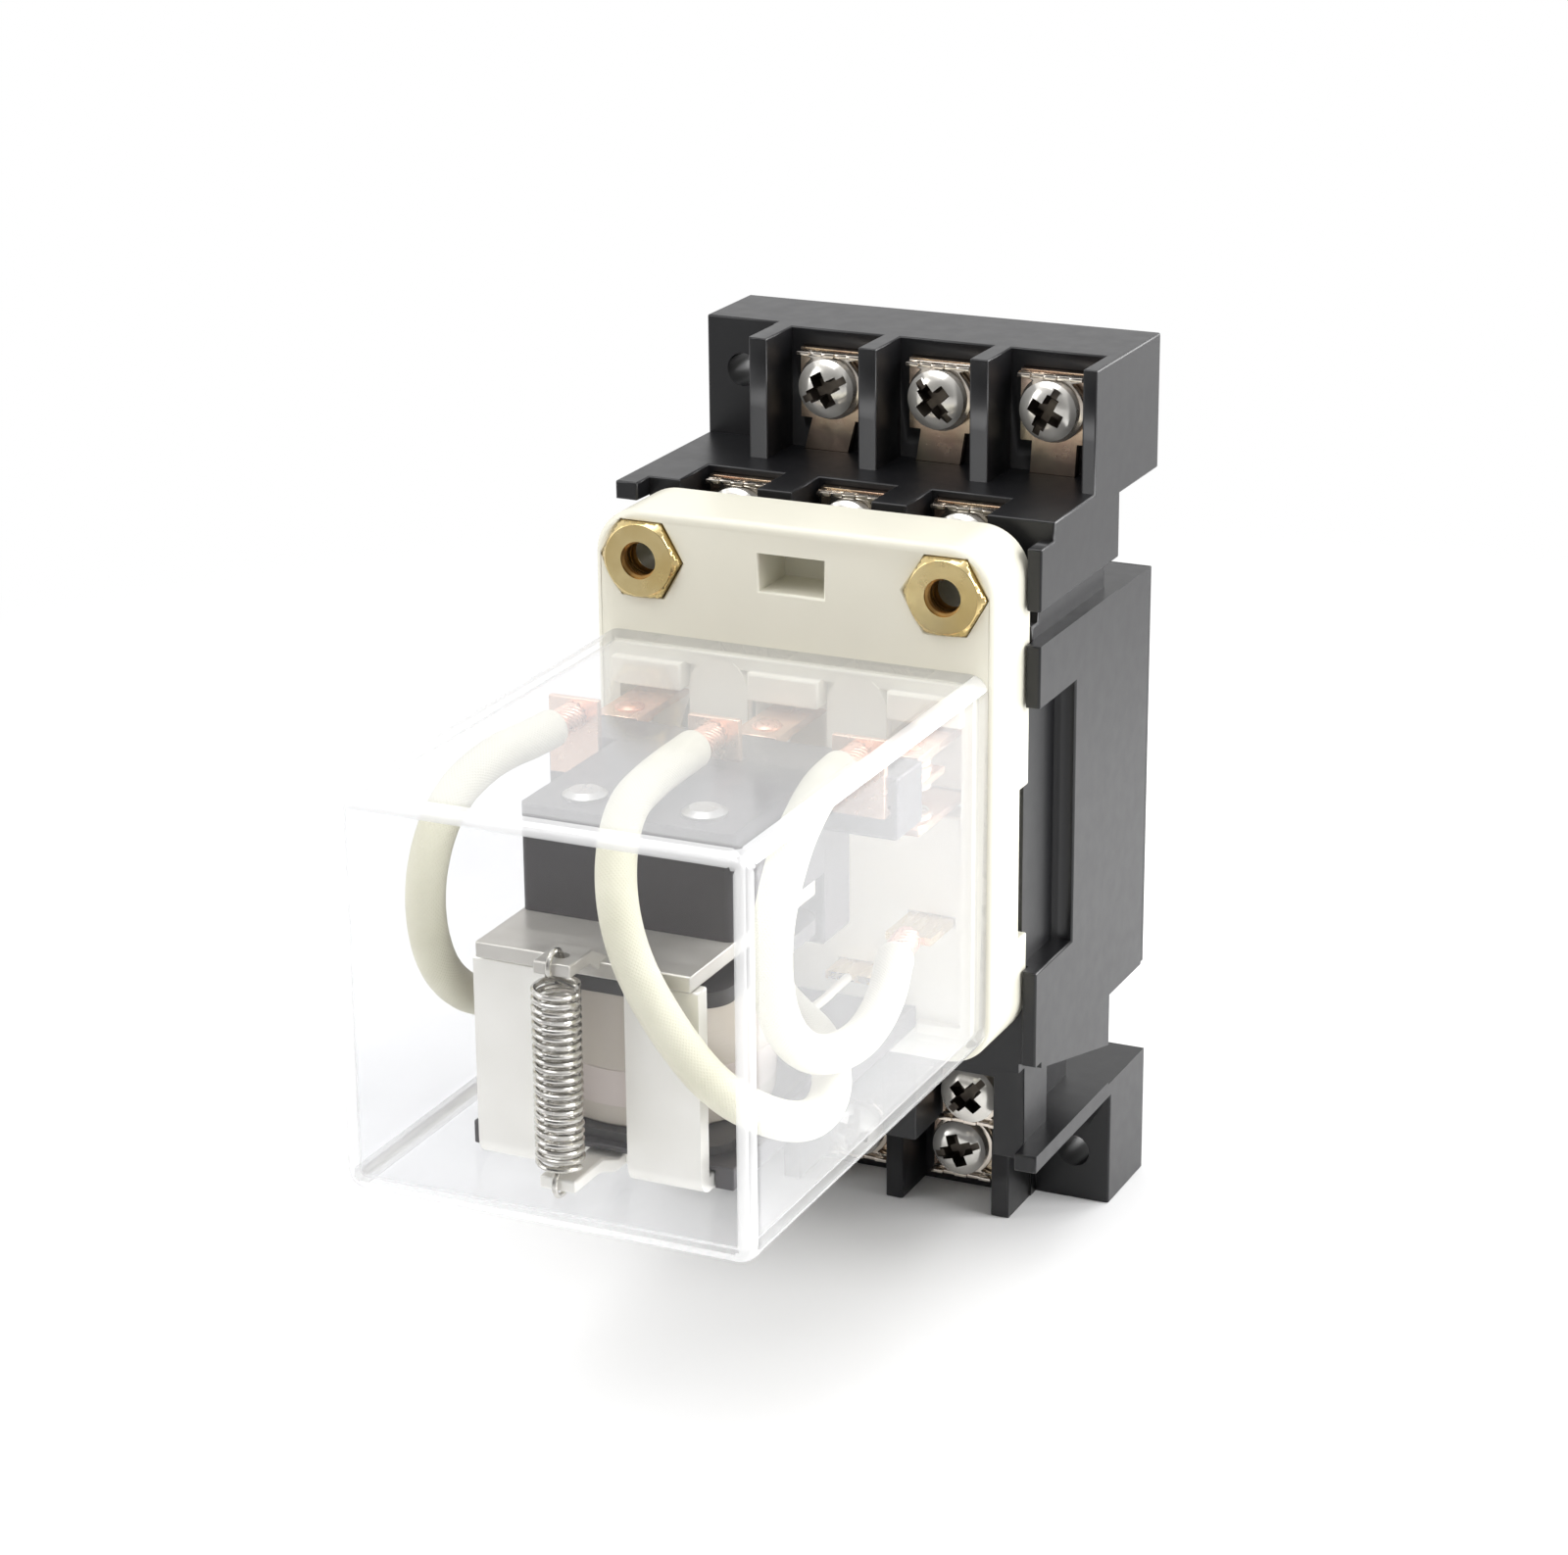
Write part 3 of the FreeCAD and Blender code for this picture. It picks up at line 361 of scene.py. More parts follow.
sleeve_white = woven_sleeve()
coil_film = wrapped_film("coil_film", (0.54, 0.49, 0.43), (0.64, 0.59, 0.52))
label_band = wrapped_film("label_band", (0.62, 0.55, 0.52), (0.68, 0.61, 0.575))
print("woven and wrapped finishes made")

# %% [markdown]
# A CAD solid has knife-sharp edges, and real mouldings and stampings don't: a fine highlight runs along
# every edge. The CAD node itself stays as it is, so a copy of its mesh is merged, its flat faces are
# joined again, and its outer edges are rounded. An edge that meets a very short one stays sharp, because the
# rounding would need more room than there is. Normals weighted by area keep the flat faces flat. The copy
# then stands for the node.

# %% Helpers for pieces
merge_gap = 0.002 * MM
flat_angle = math.radians(0.6)
corner_angle = math.radians(35)


def show(name, mesh, material=None):
    """A new object for a mesh whose points are already in place."""
    piece = bpy.data.objects.new(name, mesh)
    bpy.context.scene.collection.objects.link(piece)
    if material:
        piece.data.materials.clear()
        piece.data.materials.append(material)
    return piece


def smooth_by_angle(mesh, degrees=32):
    """Smooth shading, with a crease where faces meet at more than the angle."""
    mesh.shade_smooth()
    mesh.set_sharp_from_angle(angle=math.radians(degrees))


def made_plain(piece):
    """Bakes a piece's modifiers into its mesh."""
    depsgraph = bpy.context.evaluated_depsgraph_get()
    mesh = bpy.data.meshes.new_from_object(piece.evaluated_get(depsgraph))
    piece.modifiers.clear()
    piece.data = mesh
    return piece


def body_of_node(node):
    """The body that a CAD node moves with."""
    return nodes[node]["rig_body"]


def rounded_copy(node, material, edge, steps=2, room=2.2):
    """A copy of a CAD node, its edges rounded by so many millimetres where there is room for it."""
    mesh = nodes[node].data.copy()
    work = bmesh.new()
    work.from_mesh(mesh)
    bmesh.ops.remove_doubles(work, verts=work.verts, dist=merge_gap)
    bmesh.ops.dissolve_limit(work, angle_limit=flat_angle, verts=work.verts, edges=work.edges)
    weight = work.edges.layers.float.new("bevel_weight_edge")
    for side in work.edges:
        is_corner = side.is_manifold and side.calc_face_angle_signed() > corner_angle
        shortest = min(near.calc_length() for end in side.verts for near in end.link_edges)
        side[weight] = 1.0 if is_corner and shortest > room * edge * MM else 0.0
    work.to_mesh(mesh)
    work.free()
    smooth_by_angle(mesh)
    piece = show(node + "_finished", mesh, material)
    bevel = piece.modifiers.new("edges", "BEVEL")
    bevel.width = edge * MM
    bevel.segments = steps
    bevel.limit_method = "WEIGHT"
    bevel.use_clamp_overlap = True
    flat = piece.modifiers.new("flat_faces", "WEIGHTED_NORMAL")
    flat.mode = "FACE_AREA"
    flat.weight = 100
    flat.keep_sharp = True
    made_plain(piece)
    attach(piece, body_of_node(node))
    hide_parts(node)
    return piece


def dress(names, material):
    """A better material for CAD nodes whose shape is right."""
    for name in names:
        nodes[name].data.materials.clear()
        nodes[name].data.materials.append(material)


# %% [markdown]
# Screws, the spring and the threads follow rules, so each is a Geometry Nodes tree with named sizes. A tree
# is built once, grown with its own values for each place, and turned into a plain mesh. These helpers add
# a node, do a sum, move a shape, and end a tree the way the export needs: instances realized and the
# material set.

# %% Geometry Nodes helpers
def new_tree(name, inputs):
    """A tree with named inputs, each a (kind, value) pair, those inputs by name, and its output."""
    tree = bpy.data.node_groups.new(name, "GeometryNodeTree")
    for label, (kind, value) in inputs.items():
        socket = tree.interface.new_socket(name=label, in_out="INPUT", socket_type="NodeSocket" + kind)
        if value is not None:
            socket.default_value = value
    tree.interface.new_socket(name="Geometry", in_out="OUTPUT", socket_type="NodeSocketGeometry")
    given = tree.nodes.new("NodeGroupInput")
    size = {label: given.outputs[label] for label in inputs}
    return tree, size, tree.nodes.new("NodeGroupOutput")


def place(tree, kind, **inputs):
    """A new node. An input is a plain value or another node's output."""
    node = tree.nodes.new(kind)
    for label, value in inputs.items():
        socket = node.inputs[label.replace("_", " ")]
        if isinstance(value, bpy.types.NodeSocket):
            tree.links.new(value, socket)
        else:
            socket.default_value = value
    return node


def sum_of(tree, first, second, operation="ADD"):
    """Two numbers added, or put through another operation."""
    node = tree.nodes.new("ShaderNodeMath")
    node.operation = operation
    for socket, value in zip(node.inputs, (first, second)):
        if isinstance(value, bpy.types.NodeSocket):
            tree.links.new(value, socket)
        else:
            socket.default_value = value
    return node.outputs[0]


def vector_of(tree, x=0.0, y=0.0, z=0.0):
    return place(tree, "ShaderNodeCombineXYZ", X=x, Y=y, Z=z).outputs[0]


def moved(tree, shape, **change):
    """A shape with a new Translation, Rotation or Scale."""
    return place(tree, "GeometryNodeTransform", Geometry=shape, **change).outputs[0]


def joined(tree, shapes):
    node = tree.nodes.new("GeometryNodeJoinGeometry")
    for shape in shapes:
        tree.links.new(shape, node.inputs[0])
    return node.outputs[0]


def finish_tree(tree, shape, material, output, kept=None):
    """Realizes a shape and gives it its material, apart from faces that have the kept one."""
    real = place(tree, "GeometryNodeRealizeInstances", Geometry=shape)
    painted = place(tree, "GeometryNodeSetMaterial", Geometry=real.outputs[0], Material=material)
    if kept:
        has_kept = place(tree, "GeometryNodeMaterialSelection", Material=kept)
        others = tree.nodes.new("FunctionNodeBooleanMath")
        others.operation = "NOT"
        tree.links.new(has_kept.outputs[0], others.inputs[0])
        tree.links.new(others.outputs[0], painted.inputs["Selection"])
    tree.links.new(painted.outputs[0], output.inputs[0])


def grow(name, tree, values):
    """An object made by a tree, with its inputs set by their identifiers, as a plain mesh."""
    piece = bpy.data.objects.new(name, bpy.data.meshes.new(name))
    bpy.context.scene.collection.objects.link(piece)
    modifier = piece.modifiers.new("grow", "NODES")
    modifier.node_group = tree
    for item in tree.interface.items_tree:
        if item.item_type == "SOCKET" and item.in_out == "INPUT" and item.name in values:
            modifier[item.identifier] = values[item.name]
    mesh = made_plain(piece).data
    used = sorted({face.material_index for face in mesh.polygons})
    finishes = [mesh.materials[slot] for slot in used]
    slots = [used.index(face.material_index) for face in mesh.polygons]
    mesh.materials.clear()
    for finish in finishes:
        mesh.materials.append(finish)
    mesh.polygons.foreach_set("material_index", slots)
    smooth_by_angle(mesh)
    return piece


# %% [markdown]
# A terminal screw has a crowned pan head with a cross recess and a straight slot through it, so that either
# screwdriver fits. The head starts as a disc whose top is raised by a power curve. Two tapered wings and a
# bar are then cut out of it, and the faces they leave get a dark material as painted shade in the recess.
# A lathe profile would give the head as well, but not the recess.

# %% Screw
half_diagonal = 0.7071
crown_power = 3.2
wing_taper = 0.45


def screw_tree():
    """A screw that stands out towards the front. The underside of its head lies at its place."""
    tree, size, output = new_tree("pan_head_screw", {
        "Head Radius": ("Float", 4.0 * MM), "Rim": ("Float", 1.3 * MM), "Crown": ("Float", 1.2 * MM),
        "Cross Length": ("Float", 7.0 * MM), "Cross Width": ("Float", 2.6 * MM),
        "Cross Depth": ("Float", 1.9 * MM), "Slot Width": ("Float", 1.0 * MM),
        "Slot Depth": ("Float", 0.75 * MM), "Shank Radius": ("Float", 2.0 * MM),
        "Shank Length": ("Float", 8.0 * MM), "Turn": ("Float", 0.0), "Place": ("Vector", (0, 0, 0)),
        "Metal": ("Material", None), "Recess Shade": ("Material", None)})
    # The head: a disc whose top rises towards its middle.
    disc = place(tree, "GeometryNodeMeshCylinder", Vertices=48, Side_Segments=1, Fill_Segments=8,
                 Radius=size["Head Radius"], Depth=size["Rim"])
    position = tree.nodes.new("GeometryNodeInputPosition")
    where = place(tree, "ShaderNodeSeparateXYZ", Vector=position.outputs[0])
    squares = [sum_of(tree, where.outputs[axis], 2, "POWER") for axis in ("X", "Y")]
    from_axis = sum_of(tree, sum_of(tree, *squares), 0.5, "POWER")
    share = sum_of(tree, from_axis, size["Head Radius"], "DIVIDE")
    fall = sum_of(tree, 1.0, sum_of(tree, share, crown_power, "POWER"), "SUBTRACT")
    rise = sum_of(tree, fall, size["Crown"], "MULTIPLY")
    on_top = tree.nodes.new("FunctionNodeCompare")
    tree.links.new(where.outputs["Z"], on_top.inputs["A"])
    crowned = place(tree, "GeometryNodeSetPosition", Geometry=disc.outputs["Mesh"],
                    Selection=on_top.outputs[0], Offset=vector_of(tree, z=rise))
    half_rim = sum_of(tree, size["Rim"], 0.5, "MULTIPLY")
    head = moved(tree, crowned.outputs[0], Translation=vector_of(tree, z=half_rim))
    top = sum_of(tree, size["Rim"], size["Crown"])
    # The cross: two square cones, stretched into wings, with their middle at the floor of the recess.
    depth = sum_of(tree, size["Cross Depth"], 2.0, "MULTIPLY")
    floor_level = sum_of(tree, top, size["Cross Depth"], "SUBTRACT")
    reach = sum_of(tree, size["Cross Length"], half_diagonal, "MULTIPLY")
    width = sum_of(tree, size["Cross Width"], half_diagonal, "MULTIPLY")
    cutters = []
    for turn in (0, math.pi / 2):
        cone = place(tree, "GeometryNodeMeshCone", Vertices=4, Radius_Top=1.0, Radius_Bottom=wing_taper,
                     Depth=depth)
        square = moved(tree, cone.outputs["Mesh"], Rotation=(0, 0, math.pi / 4))
        sized = moved(tree, square, Scale=vector_of(tree, reach, width, 1.0))
        wing = moved(tree, sized, Rotation=(0, 0, turn))
        cutters.append(moved(tree, wing, Translation=vector_of(tree, z=floor_level)))
    # The straight slot: a bar that runs past the rim on both sides.
    bar_length = sum_of(tree, size["Head Radius"], 3.0, "MULTIPLY")
    bar_height = sum_of(tree, size["Slot Depth"], 2.0, "MULTIPLY")
    bar = place(tree, "GeometryNodeMeshCube",
                Size=vector_of(tree, bar_length, size["Slot Width"], bar_height))
    cutters.append(moved(tree, bar.outputs["Mesh"], Translation=vector_of(tree, z=top)))
    cut = tree.nodes.new("GeometryNodeMeshBoolean")
    cut.operation = "DIFFERENCE"
    cut.solver = "EXACT"
    tree.links.new(head, cut.inputs["Mesh 1"])
    for cutter in cutters:
        # The cutters carry the dark material, so the faces they leave in the head are painted shade.
        shaded_cutter = place(tree, "GeometryNodeSetMaterial", Geometry=cutter, Material=size["Recess Shade"])
        tree.links.new(shaded_cutter.outputs[0], cut.inputs["Mesh 2"])
    shank = place(tree, "GeometryNodeMeshCylinder", Vertices=24, Radius=size["Shank Radius"],
                  Depth=size["Shank Length"])
    low = sum_of(tree, size["Shank Length"], -0.5, "MULTIPLY")
    seated = moved(tree, shank.outputs["Mesh"], Translation=vector_of(tree, z=low))
    whole = joined(tree, (cut.outputs["Mesh"], seated))
    spun = moved(tree, whole, Rotation=vector_of(tree, z=size["Turn"]))
    outward = moved(tree, spun, Rotation=(math.pi / 2, 0, 0))
    placed = moved(tree, outward, Translation=size["Place"])
    finish_tree(tree, placed, size["Metal"], output, size["Recess Shade"])
    return tree


# %% [markdown]
# The return spring is round wire wound close, with a ring at each end that hooks over the steel. A spiral
# curve gives the coil, circles give the rings, and one round section is swept along all of them.

# %% Spring
def spring_tree():
    """A close-wound spring with a ring at each end, set upright."""
    tree, size, output = new_tree("tension_spring", {
        "Turns": ("Float", 22.0), "Coil Radius": ("Float", 2.65 * MM), "Wire Radius": ("Float", 0.35 * MM),
        "Bottom": ("Float", 0.0), "Height": ("Float", 22.0 * MM), "Ring Radius": ("Float", 1.7 * MM),
        "Ring Shift": ("Float", -1.0 * MM), "Place": ("Vector", (0, 0, 0)), "Metal": ("Material", None)})
    coil = place(tree, "GeometryNodeCurveSpiral", Resolution=20, Rotations=size["Turns"],
                 Start_Radius=size["Coil Radius"], End_Radius=size["Coil Radius"], Height=size["Height"])
    curves = [moved(tree, coil.outputs[0], Translation=vector_of(tree, z=size["Bottom"]))]
    ring = place(tree, "GeometryNodeCurvePrimitiveCircle", Resolution=28, Radius=size["Ring Radius"])
    upright = moved(tree, ring.outputs[0], Rotation=(0, math.pi / 2, 0))
    wire_width = sum_of(tree, size["Wire Radius"], 2.0, "MULTIPLY")
    off = sum_of(tree, size["Ring Radius"], wire_width)
    top = sum_of(tree, size["Bottom"], size["Height"])
    for level, way in ((top, 1.0), (size["Bottom"], -1.0)):
        middle = sum_of(tree, level, sum_of(tree, off, way, "MULTIPLY"))
        curves.append(moved(tree, upright, Translation=vector_of(tree, y=size["Ring Shift"], z=middle)))
        foot = sum_of(tree, level, sum_of(tree, wire_width, way, "MULTIPLY"))
        crossing = place(tree, "GeometryNodeCurvePrimitiveLine",
                         Start=vector_of(tree, x=size["Coil Radius"], z=level),
                         End=vector_of(tree, y=size["Ring Shift"], z=foot))
        curves.append(crossing.outputs[0])
    section = place(tree, "GeometryNodeCurvePrimitiveCircle", Resolution=10, Radius=size["Wire Radius"])
    wire = place(tree, "GeometryNodeCurveToMesh", Curve=joined(tree, curves),
                 Profile_Curve=section.outputs[0], Fill_Caps=True)
    placed = moved(tree, wire.outputs[0], Translation=size["Place"])
    finish_tree(tree, placed, size["Metal"], output)
    return tree


# %% [markdown]
# The brass nuts are threaded. The crests of the thread are a thin ridge that winds up the bore.

# %% Thread
def thread_tree():
    """The crests of a thread inside a bore that opens towards the front."""
    tree, size, output = new_tree("inner_thread", {
        "Bore Radius": ("Float", 2.5 * MM), "Pitch": ("Float", 0.8 * MM), "Length": ("Float", 4.5 * MM),
        "Depth": ("Float", 0.3 * MM), "Place": ("Vector", (0, 0, 0)), "Metal": ("Material", None)})
    turns = sum_of(tree, size["Length"], size["Pitch"], "DIVIDE")
    line = place(tree, "GeometryNodeCurveSpiral", Resolution=32, Rotations=turns,
                 Start_Radius=size["Bore Radius"], End_Radius=size["Bore Radius"], Height=size["Length"])
    section = place(tree, "GeometryNodeCurvePrimitiveCircle", Resolution=4, Radius=size["Depth"])
    ridge = place(tree, "GeometryNodeCurveToMesh", Curve=line.outputs[0], Profile_Curve=section.outputs[0],
                  Fill_Caps=True)
    outward = moved(tree, ridge.outputs[0], Rotation=(math.pi / 2, 0, 0))
    placed = moved(tree, outward, Translation=size["Place"])
    finish_tree(tree, placed, size["Metal"], output)
    return tree


# %% [markdown]
# Nothing of the studio belongs to the object: a white floor that the socket stands on, a white surround
# and soft lamps. The surround is pure white to the camera, gives the object a softer light, and is darker
# from the front to what mirrors it, where a photographer stands. The floor takes the object's shadow near
# it, and further off it is pure white to the camera too. No strength is over 1, where 1 is white.

# %% Floor and surround
floor_gap = 0.02 * MM
floor_reach = 3.0
shadow_end = 0.16
pure_white = 0.34
sky_light = 0.58


def white_floor():
    """Takes the object's shadow near it, and turns pure white further off for what only looks at it."""
    material, shader = new_finish("floor_white", (0.93, 0.93, 0.93), 0.6)
    place_here = add(material, "ShaderNodeTexCoord").outputs["Object"]
    distance = add(material, "ShaderNodeVectorMath")
    distance.operation = "LENGTH"
    link(material, place_here, distance.inputs[0])
    far = mapped(material, distance.outputs["Value"], shadow_end, pure_white, smooth=True)
    parts = add(material, "ShaderNodeSeparateXYZ")
    link(material, place_here, parts.inputs["Vector"])
    behind = mapped(material, parts.outputs["Y"], -0.30, 0.05, 0.6)
    in_front = mapped(material, parts.outputs["Y"], -0.04, -0.16, 0.0, 0.5)
    rays = add(material, "ShaderNodeLightPath").outputs
    looks = combined(material, "MAXIMUM", rays["Is Camera Ray"], rays["Is Transmission Ray"])
    seen = combined(material, "MULTIPLY", looks, far)
    edge = combined(material, "MAXIMUM", far, in_front)
    mirrored = combined(material, "MULTIPLY", rays["Is Glossy Ray"], edge)
    glow = add(material, "ShaderNodeEmission")
    link(material, combined(material, "MAXIMUM", looks, behind), glow.inputs["Strength"])
    share = combined(material, "MAXIMUM", seen, mirrored)
    mixed_surface(material, share, shader.outputs["BSDF"], glow.outputs["Emission"])
    return material


def floor_square():
    """One square, a hair under the object's lowest point."""
    mesh = bpy.data.meshes.new("floor")
    level = cad_low.z - floor_gap
    turns = ((-1, -1), (1, -1), (1, 1), (-1, 1))
    mesh.from_pydata([(x * floor_reach, y * floor_reach, level) for x, y in turns], [], [(0, 1, 2, 3)])
    return mesh


def white_surround():
    """Pure white to the camera, darker from the front to what mirrors it, and a softer light to the rest."""
    world = bpy.data.worlds.new("surround")
    bpy.context.scene.world = world
    world.use_nodes = True
    direction = add(world, "ShaderNodeTexCoord")
    parts = add(world, "ShaderNodeSeparateXYZ")
    link(world, direction.outputs["Generated"], parts.inputs["Vector"])
    front = mapped(world, parts.outputs["Y"], -0.95, -0.35, 0.05, 1.0)
    rays = add(world, "ShaderNodeLightPath").outputs
    looks = combined(world, "MAXIMUM", rays["Is Camera Ray"], rays["Is Transmission Ray"])
    for_gloss = add(world, "ShaderNodeMix")
    for_gloss.inputs[2].default_value = sky_light
    link(world, front, for_gloss.inputs[3])
    link(world, rays["Is Glossy Ray"], for_gloss.inputs["Factor"])
    strength = add(world, "ShaderNodeMix")
    strength.inputs[3].default_value = 1.0
    link(world, for_gloss.outputs[0], strength.inputs[2])
    link(world, looks, strength.inputs["Factor"])
    sky = world.node_tree.nodes["Background"]
    link(world, strength.outputs[0], sky.inputs["Strength"])
    sky.inputs["Color"].default_value = (1, 1, 1, 1)


floor = show("floor", floor_square(), white_floor())
floor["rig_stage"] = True
white_surround()
print("floor lies at", round(floor.data.vertices[0].co.z / MM, 2), "mm")

# %% [markdown]
# Four large square lamps face the middle of the object, so their shadows are soft. The side and back lamps
# are the strong ones: they brighten the socket's right side and the cover's walls. The left one is weak.

# %% Lamps
def soft_lamp(name, place, size, power):
    """A square lamp that faces the middle of the object."""
    data = bpy.data.lights.new(name, "AREA")
    data.size = size
    data.energy = power
    lamp = bpy.data.objects.new(name, data)
    bpy.context.scene.collection.objects.link(lamp)
    lamp.location = place
    middle = (cad_low + cad_high) / 2
    lamp.rotation_mode = "QUATERNION"
    lamp.rotation_quaternion = (middle - Vector(place)).to_track_quat("-Z", "Y")
    return lamp


lamps = [soft_lamp("side_lamp", (0.66, 0.05, 0.30), 0.5, 5.0),
         soft_lamp("back_lamp", (0.50, 0.75, 0.22), 0.5, 5.0),
         soft_lamp("top_lamp", (-0.10, -0.25, 0.75), 0.6, 3.6),
         soft_lamp("left_lamp", (-0.60, -0.45, 0.25), 0.5, 1.6)]
print("lamps:", len(lamps))

# %% [markdown]
# The socket is one moulding, so only its edges need help. Behind it lies a plain sheet, held by six rivets.
# Each of its cells has a strip, a clamp and a screw. The strips are right as the frame gives them, so they
# only get their metal.

# %% Socket
rounded_copy("socket_body", socket_black, 0.25, room=5.5)
rounded_copy("socket_back_plate", sheet_black, 0.1, 1)
dress(["socket_rivets"], rivet_steel)
strips = [name for name in nodes if name.startswith("strip_")]
dress(strips, strip_nickel)
print("strips:", len(strips))

# %% [markdown]
# A clamp is a stamped saddle: a round foot under the screw, a neck, and at its outer end a lip that is turned
# up and has small teeth, so that a wire can't slip out sideways. Its outline is drawn once and given its
# thickness, and each cell gets a copy. At the socket's lower end it points the other way.

# %% Clamps
clamp_foot = 4.55
clamp_high = 4.65
clamp_thick = 1.0
foot_start = 128
foot_end = 412
foot_steps = 24
lip_thick = 0.55
lip_rise = 0.95
lip_low_share = 0.72
lip_teeth = 5
clamp_edge = 0.12
weld_gap = 0.0005 * MM
screw_head_high = 2.6 * MM
head_gap = 0.1 * MM
terminals = [kind + pole for kind in ("no_", "nc_", "com_") for pole in "123"] + ["coil_1", "coil_2"]


def screw_seat(terminal):
    """Where the underside of a screw's head meets the screw's axis."""
    low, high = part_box("screw_" + terminal)
    return (low[0] + high[0]) / 2, low[1] + screw_head_high, (low[2] + high[2]) / 2


def clamp_outline():
    """A round foot with straight shoulders at its outer end, as (x, z) points in millimetres."""
    points = []
    for k in range(foot_steps + 1):
        angle = math.radians(foot_start + k * (foot_end - foot_start) / foot_steps)
        points.append((clamp_foot * math.cos(angle), clamp_foot * math.sin(angle)))
    neck = clamp_high - lip_thick
    shoulders = [(clamp_foot, neck), (clamp_foot, clamp_high), (-clamp_foot, clamp_high), (-clamp_foot, neck)]
    return points + shoulders


def add_block(work, outline, back_y, front_y, middle, way):
    """An outline given its thickness from a back to a front, in an open bmesh."""
    loops = []
    for y in (back_y, front_y):
        places = [(middle[0] + way * x * MM, y, middle[1] + way * z * MM) for x, z in outline]
        loops.append([work.verts.new(place) for place in places])
    back, front = loops
    work.faces.new(back)
    work.faces.new(list(reversed(front)))
    for k in range(len(outline)):
        after = (k + 1) % len(outline)
        work.faces.new((back[k], front[k], front[after], back[after]))


def stamped_clamps():
    """All the clamps as one piece, each under its screw's head."""
    work = bmesh.new()
    tooth = 2 * clamp_foot / lip_teeth
    for terminal in terminals:
        x, y, z = screw_seat(terminal)
        way = 1 if z > 0 else -1
        front_y = y + head_gap
        add_block(work, clamp_outline(), front_y + clamp_thick * MM, front_y, (x, z), way)
        for k in range(lip_teeth):
            near, far = -clamp_foot + k * tooth, -clamp_foot + k * tooth + tooth
            low, high = clamp_high - lip_thick, clamp_high
            rise = lip_rise * (lip_low_share if k % 2 else 1.0) * MM
            lip = [(near, low), (near, high), (far, high), (far, low)]
            add_block(work, lip, front_y, front_y - rise, (x, z), way)
    bmesh.ops.remove_doubles(work, verts=work.verts, dist=weld_gap)
    bmesh.ops.recalc_face_normals(work, faces=work.faces)
    mesh = bpy.data.meshes.new("clamps_stamped")
    work.to_mesh(mesh)
    work.free()
    clamps = show("clamps_stamped", mesh, terminal_nickel)
    bevel = clamps.modifiers.new("edges", "BEVEL")
    bevel.width = clamp_edge * MM
    bevel.segments = 2
    bevel.limit_method = "ANGLE"
    bevel.angle_limit = corner_angle
    made_plain(clamps)
    smooth_by_angle(clamps.data)
    return clamps


clamps = stamped_clamps()
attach(clamps, body_of_node("terminal_clamps"))
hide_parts("terminal_clamps")
print("clamps:", len(terminals))

# %% [markdown]
# The eleven screws are of one kind, driven home by hand. No two stop at the same angle, so each gets a turn
# of its own, in radians.

# %% Terminal screws
screw_turns = {"no_1": 0.5, "no_2": 2.3, "no_3": 1.1, "nc_1": 0.2, "nc_2": 1.9, "nc_3": 0.9, "com_1": 2.7,
               "com_2": 1.4, "com_3": 0.35, "coil_1": 2.0, "coil_2": 0.8}
screw_shape = screw_tree()
for terminal, turn in screw_turns.items():
    seat = Vector(screw_seat(terminal))
    values = {"Turn": turn, "Place": seat, "Metal": screw_nickel, "Recess Shade": recess_painted_shade}
    screw = grow("screw_" + terminal + "_finished", screw_shape, values)
    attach(screw, body_of_node("screw_" + terminal))
    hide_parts("screw_" + terminal)
print("screws:", len(screw_turns))

# %% [markdown]
# The relay's base is an ivory moulding with two brass nuts set into it. The cover keeps its shape, and the
# faces in its rounded edges get the whiter veil, a painted highlight. Pins and contacts are stamped from
# brass sheet.

# %% Relay
flat_face = 0.955
rounded_copy("relay_base", base_ivory, 0.3)
dress(["cover"], cover_clear)
cover = nodes["cover"].data
cover.materials.append(cover_edge_highlight)
# The faces in the rounded edges take the painted highlight.
rounded_faces = [face for face in cover.polygons if max(abs(part) for part in face.normal) < flat_face]
for face in rounded_faces:
    face.material_index = 1
print("whiter faces in the rounded edges of the cover:", len(rounded_faces))
for pole in ("1", "2", "3"):
    for kind in ("contact_nc_", "contact_no_", "moving_contact_"):
        rounded_copy(kind + pole, contact_brass, 0.1, 1)
    dress(["pin_com_" + pole], blade_brass)
dress(["pin_coil_1", "pin_coil_2"], blade_brass)

# %% [markdown]
# A nut is cut from brass bar and tapped. Its bore lies in its own shade, so the faces near its axis that
# don't look out of the bore get a darker brass, and so do the crests of the thread.

# %% Nuts
bore_reach = 2.2 * MM
bore_facing = 0.5
thread_start = 0.35 * MM
thread_length = 3.8 * MM
nuts = rounded_copy("mounting_nuts", nut_brass, 0.16)
nuts.data.materials.append(bore_shade_brass)
low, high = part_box("mounting_nuts")
nut_x = high[0] - (high[2] - low[2]) / math.sqrt(3)
nut_z = (low[2] + high[2]) / 2
# Faces in the bore get the dark brass as painted shade.
for face in nuts.data.polygons:
    from_axis = math.hypot(abs(face.center.x) - nut_x, face.center.z - nut_z)
    if from_axis < bore_reach and abs(face.normal.y) < bore_facing:
        face.material_index = 1
thread_shape = thread_tree()
for side, name in ((-1, "left"), (1, "right")):
    start = Vector((side * nut_x, high[1] - thread_start, nut_z))
    values = {"Place": start, "Length": thread_length, "Metal": bore_shade_brass}
    thread = grow("nut_thread_" + name, thread_shape, values)
    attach(thread, body_of_node("mounting_nuts"))
print("nuts are threaded at x", round(nut_x / MM, 2), "mm")

# %% [markdown]
# A turned piece is a profile of radius and height, carried once round an axis. The silver buttons, the
# rivet heads and the film on the coil are all made this way, each with a soft edge in its profile.

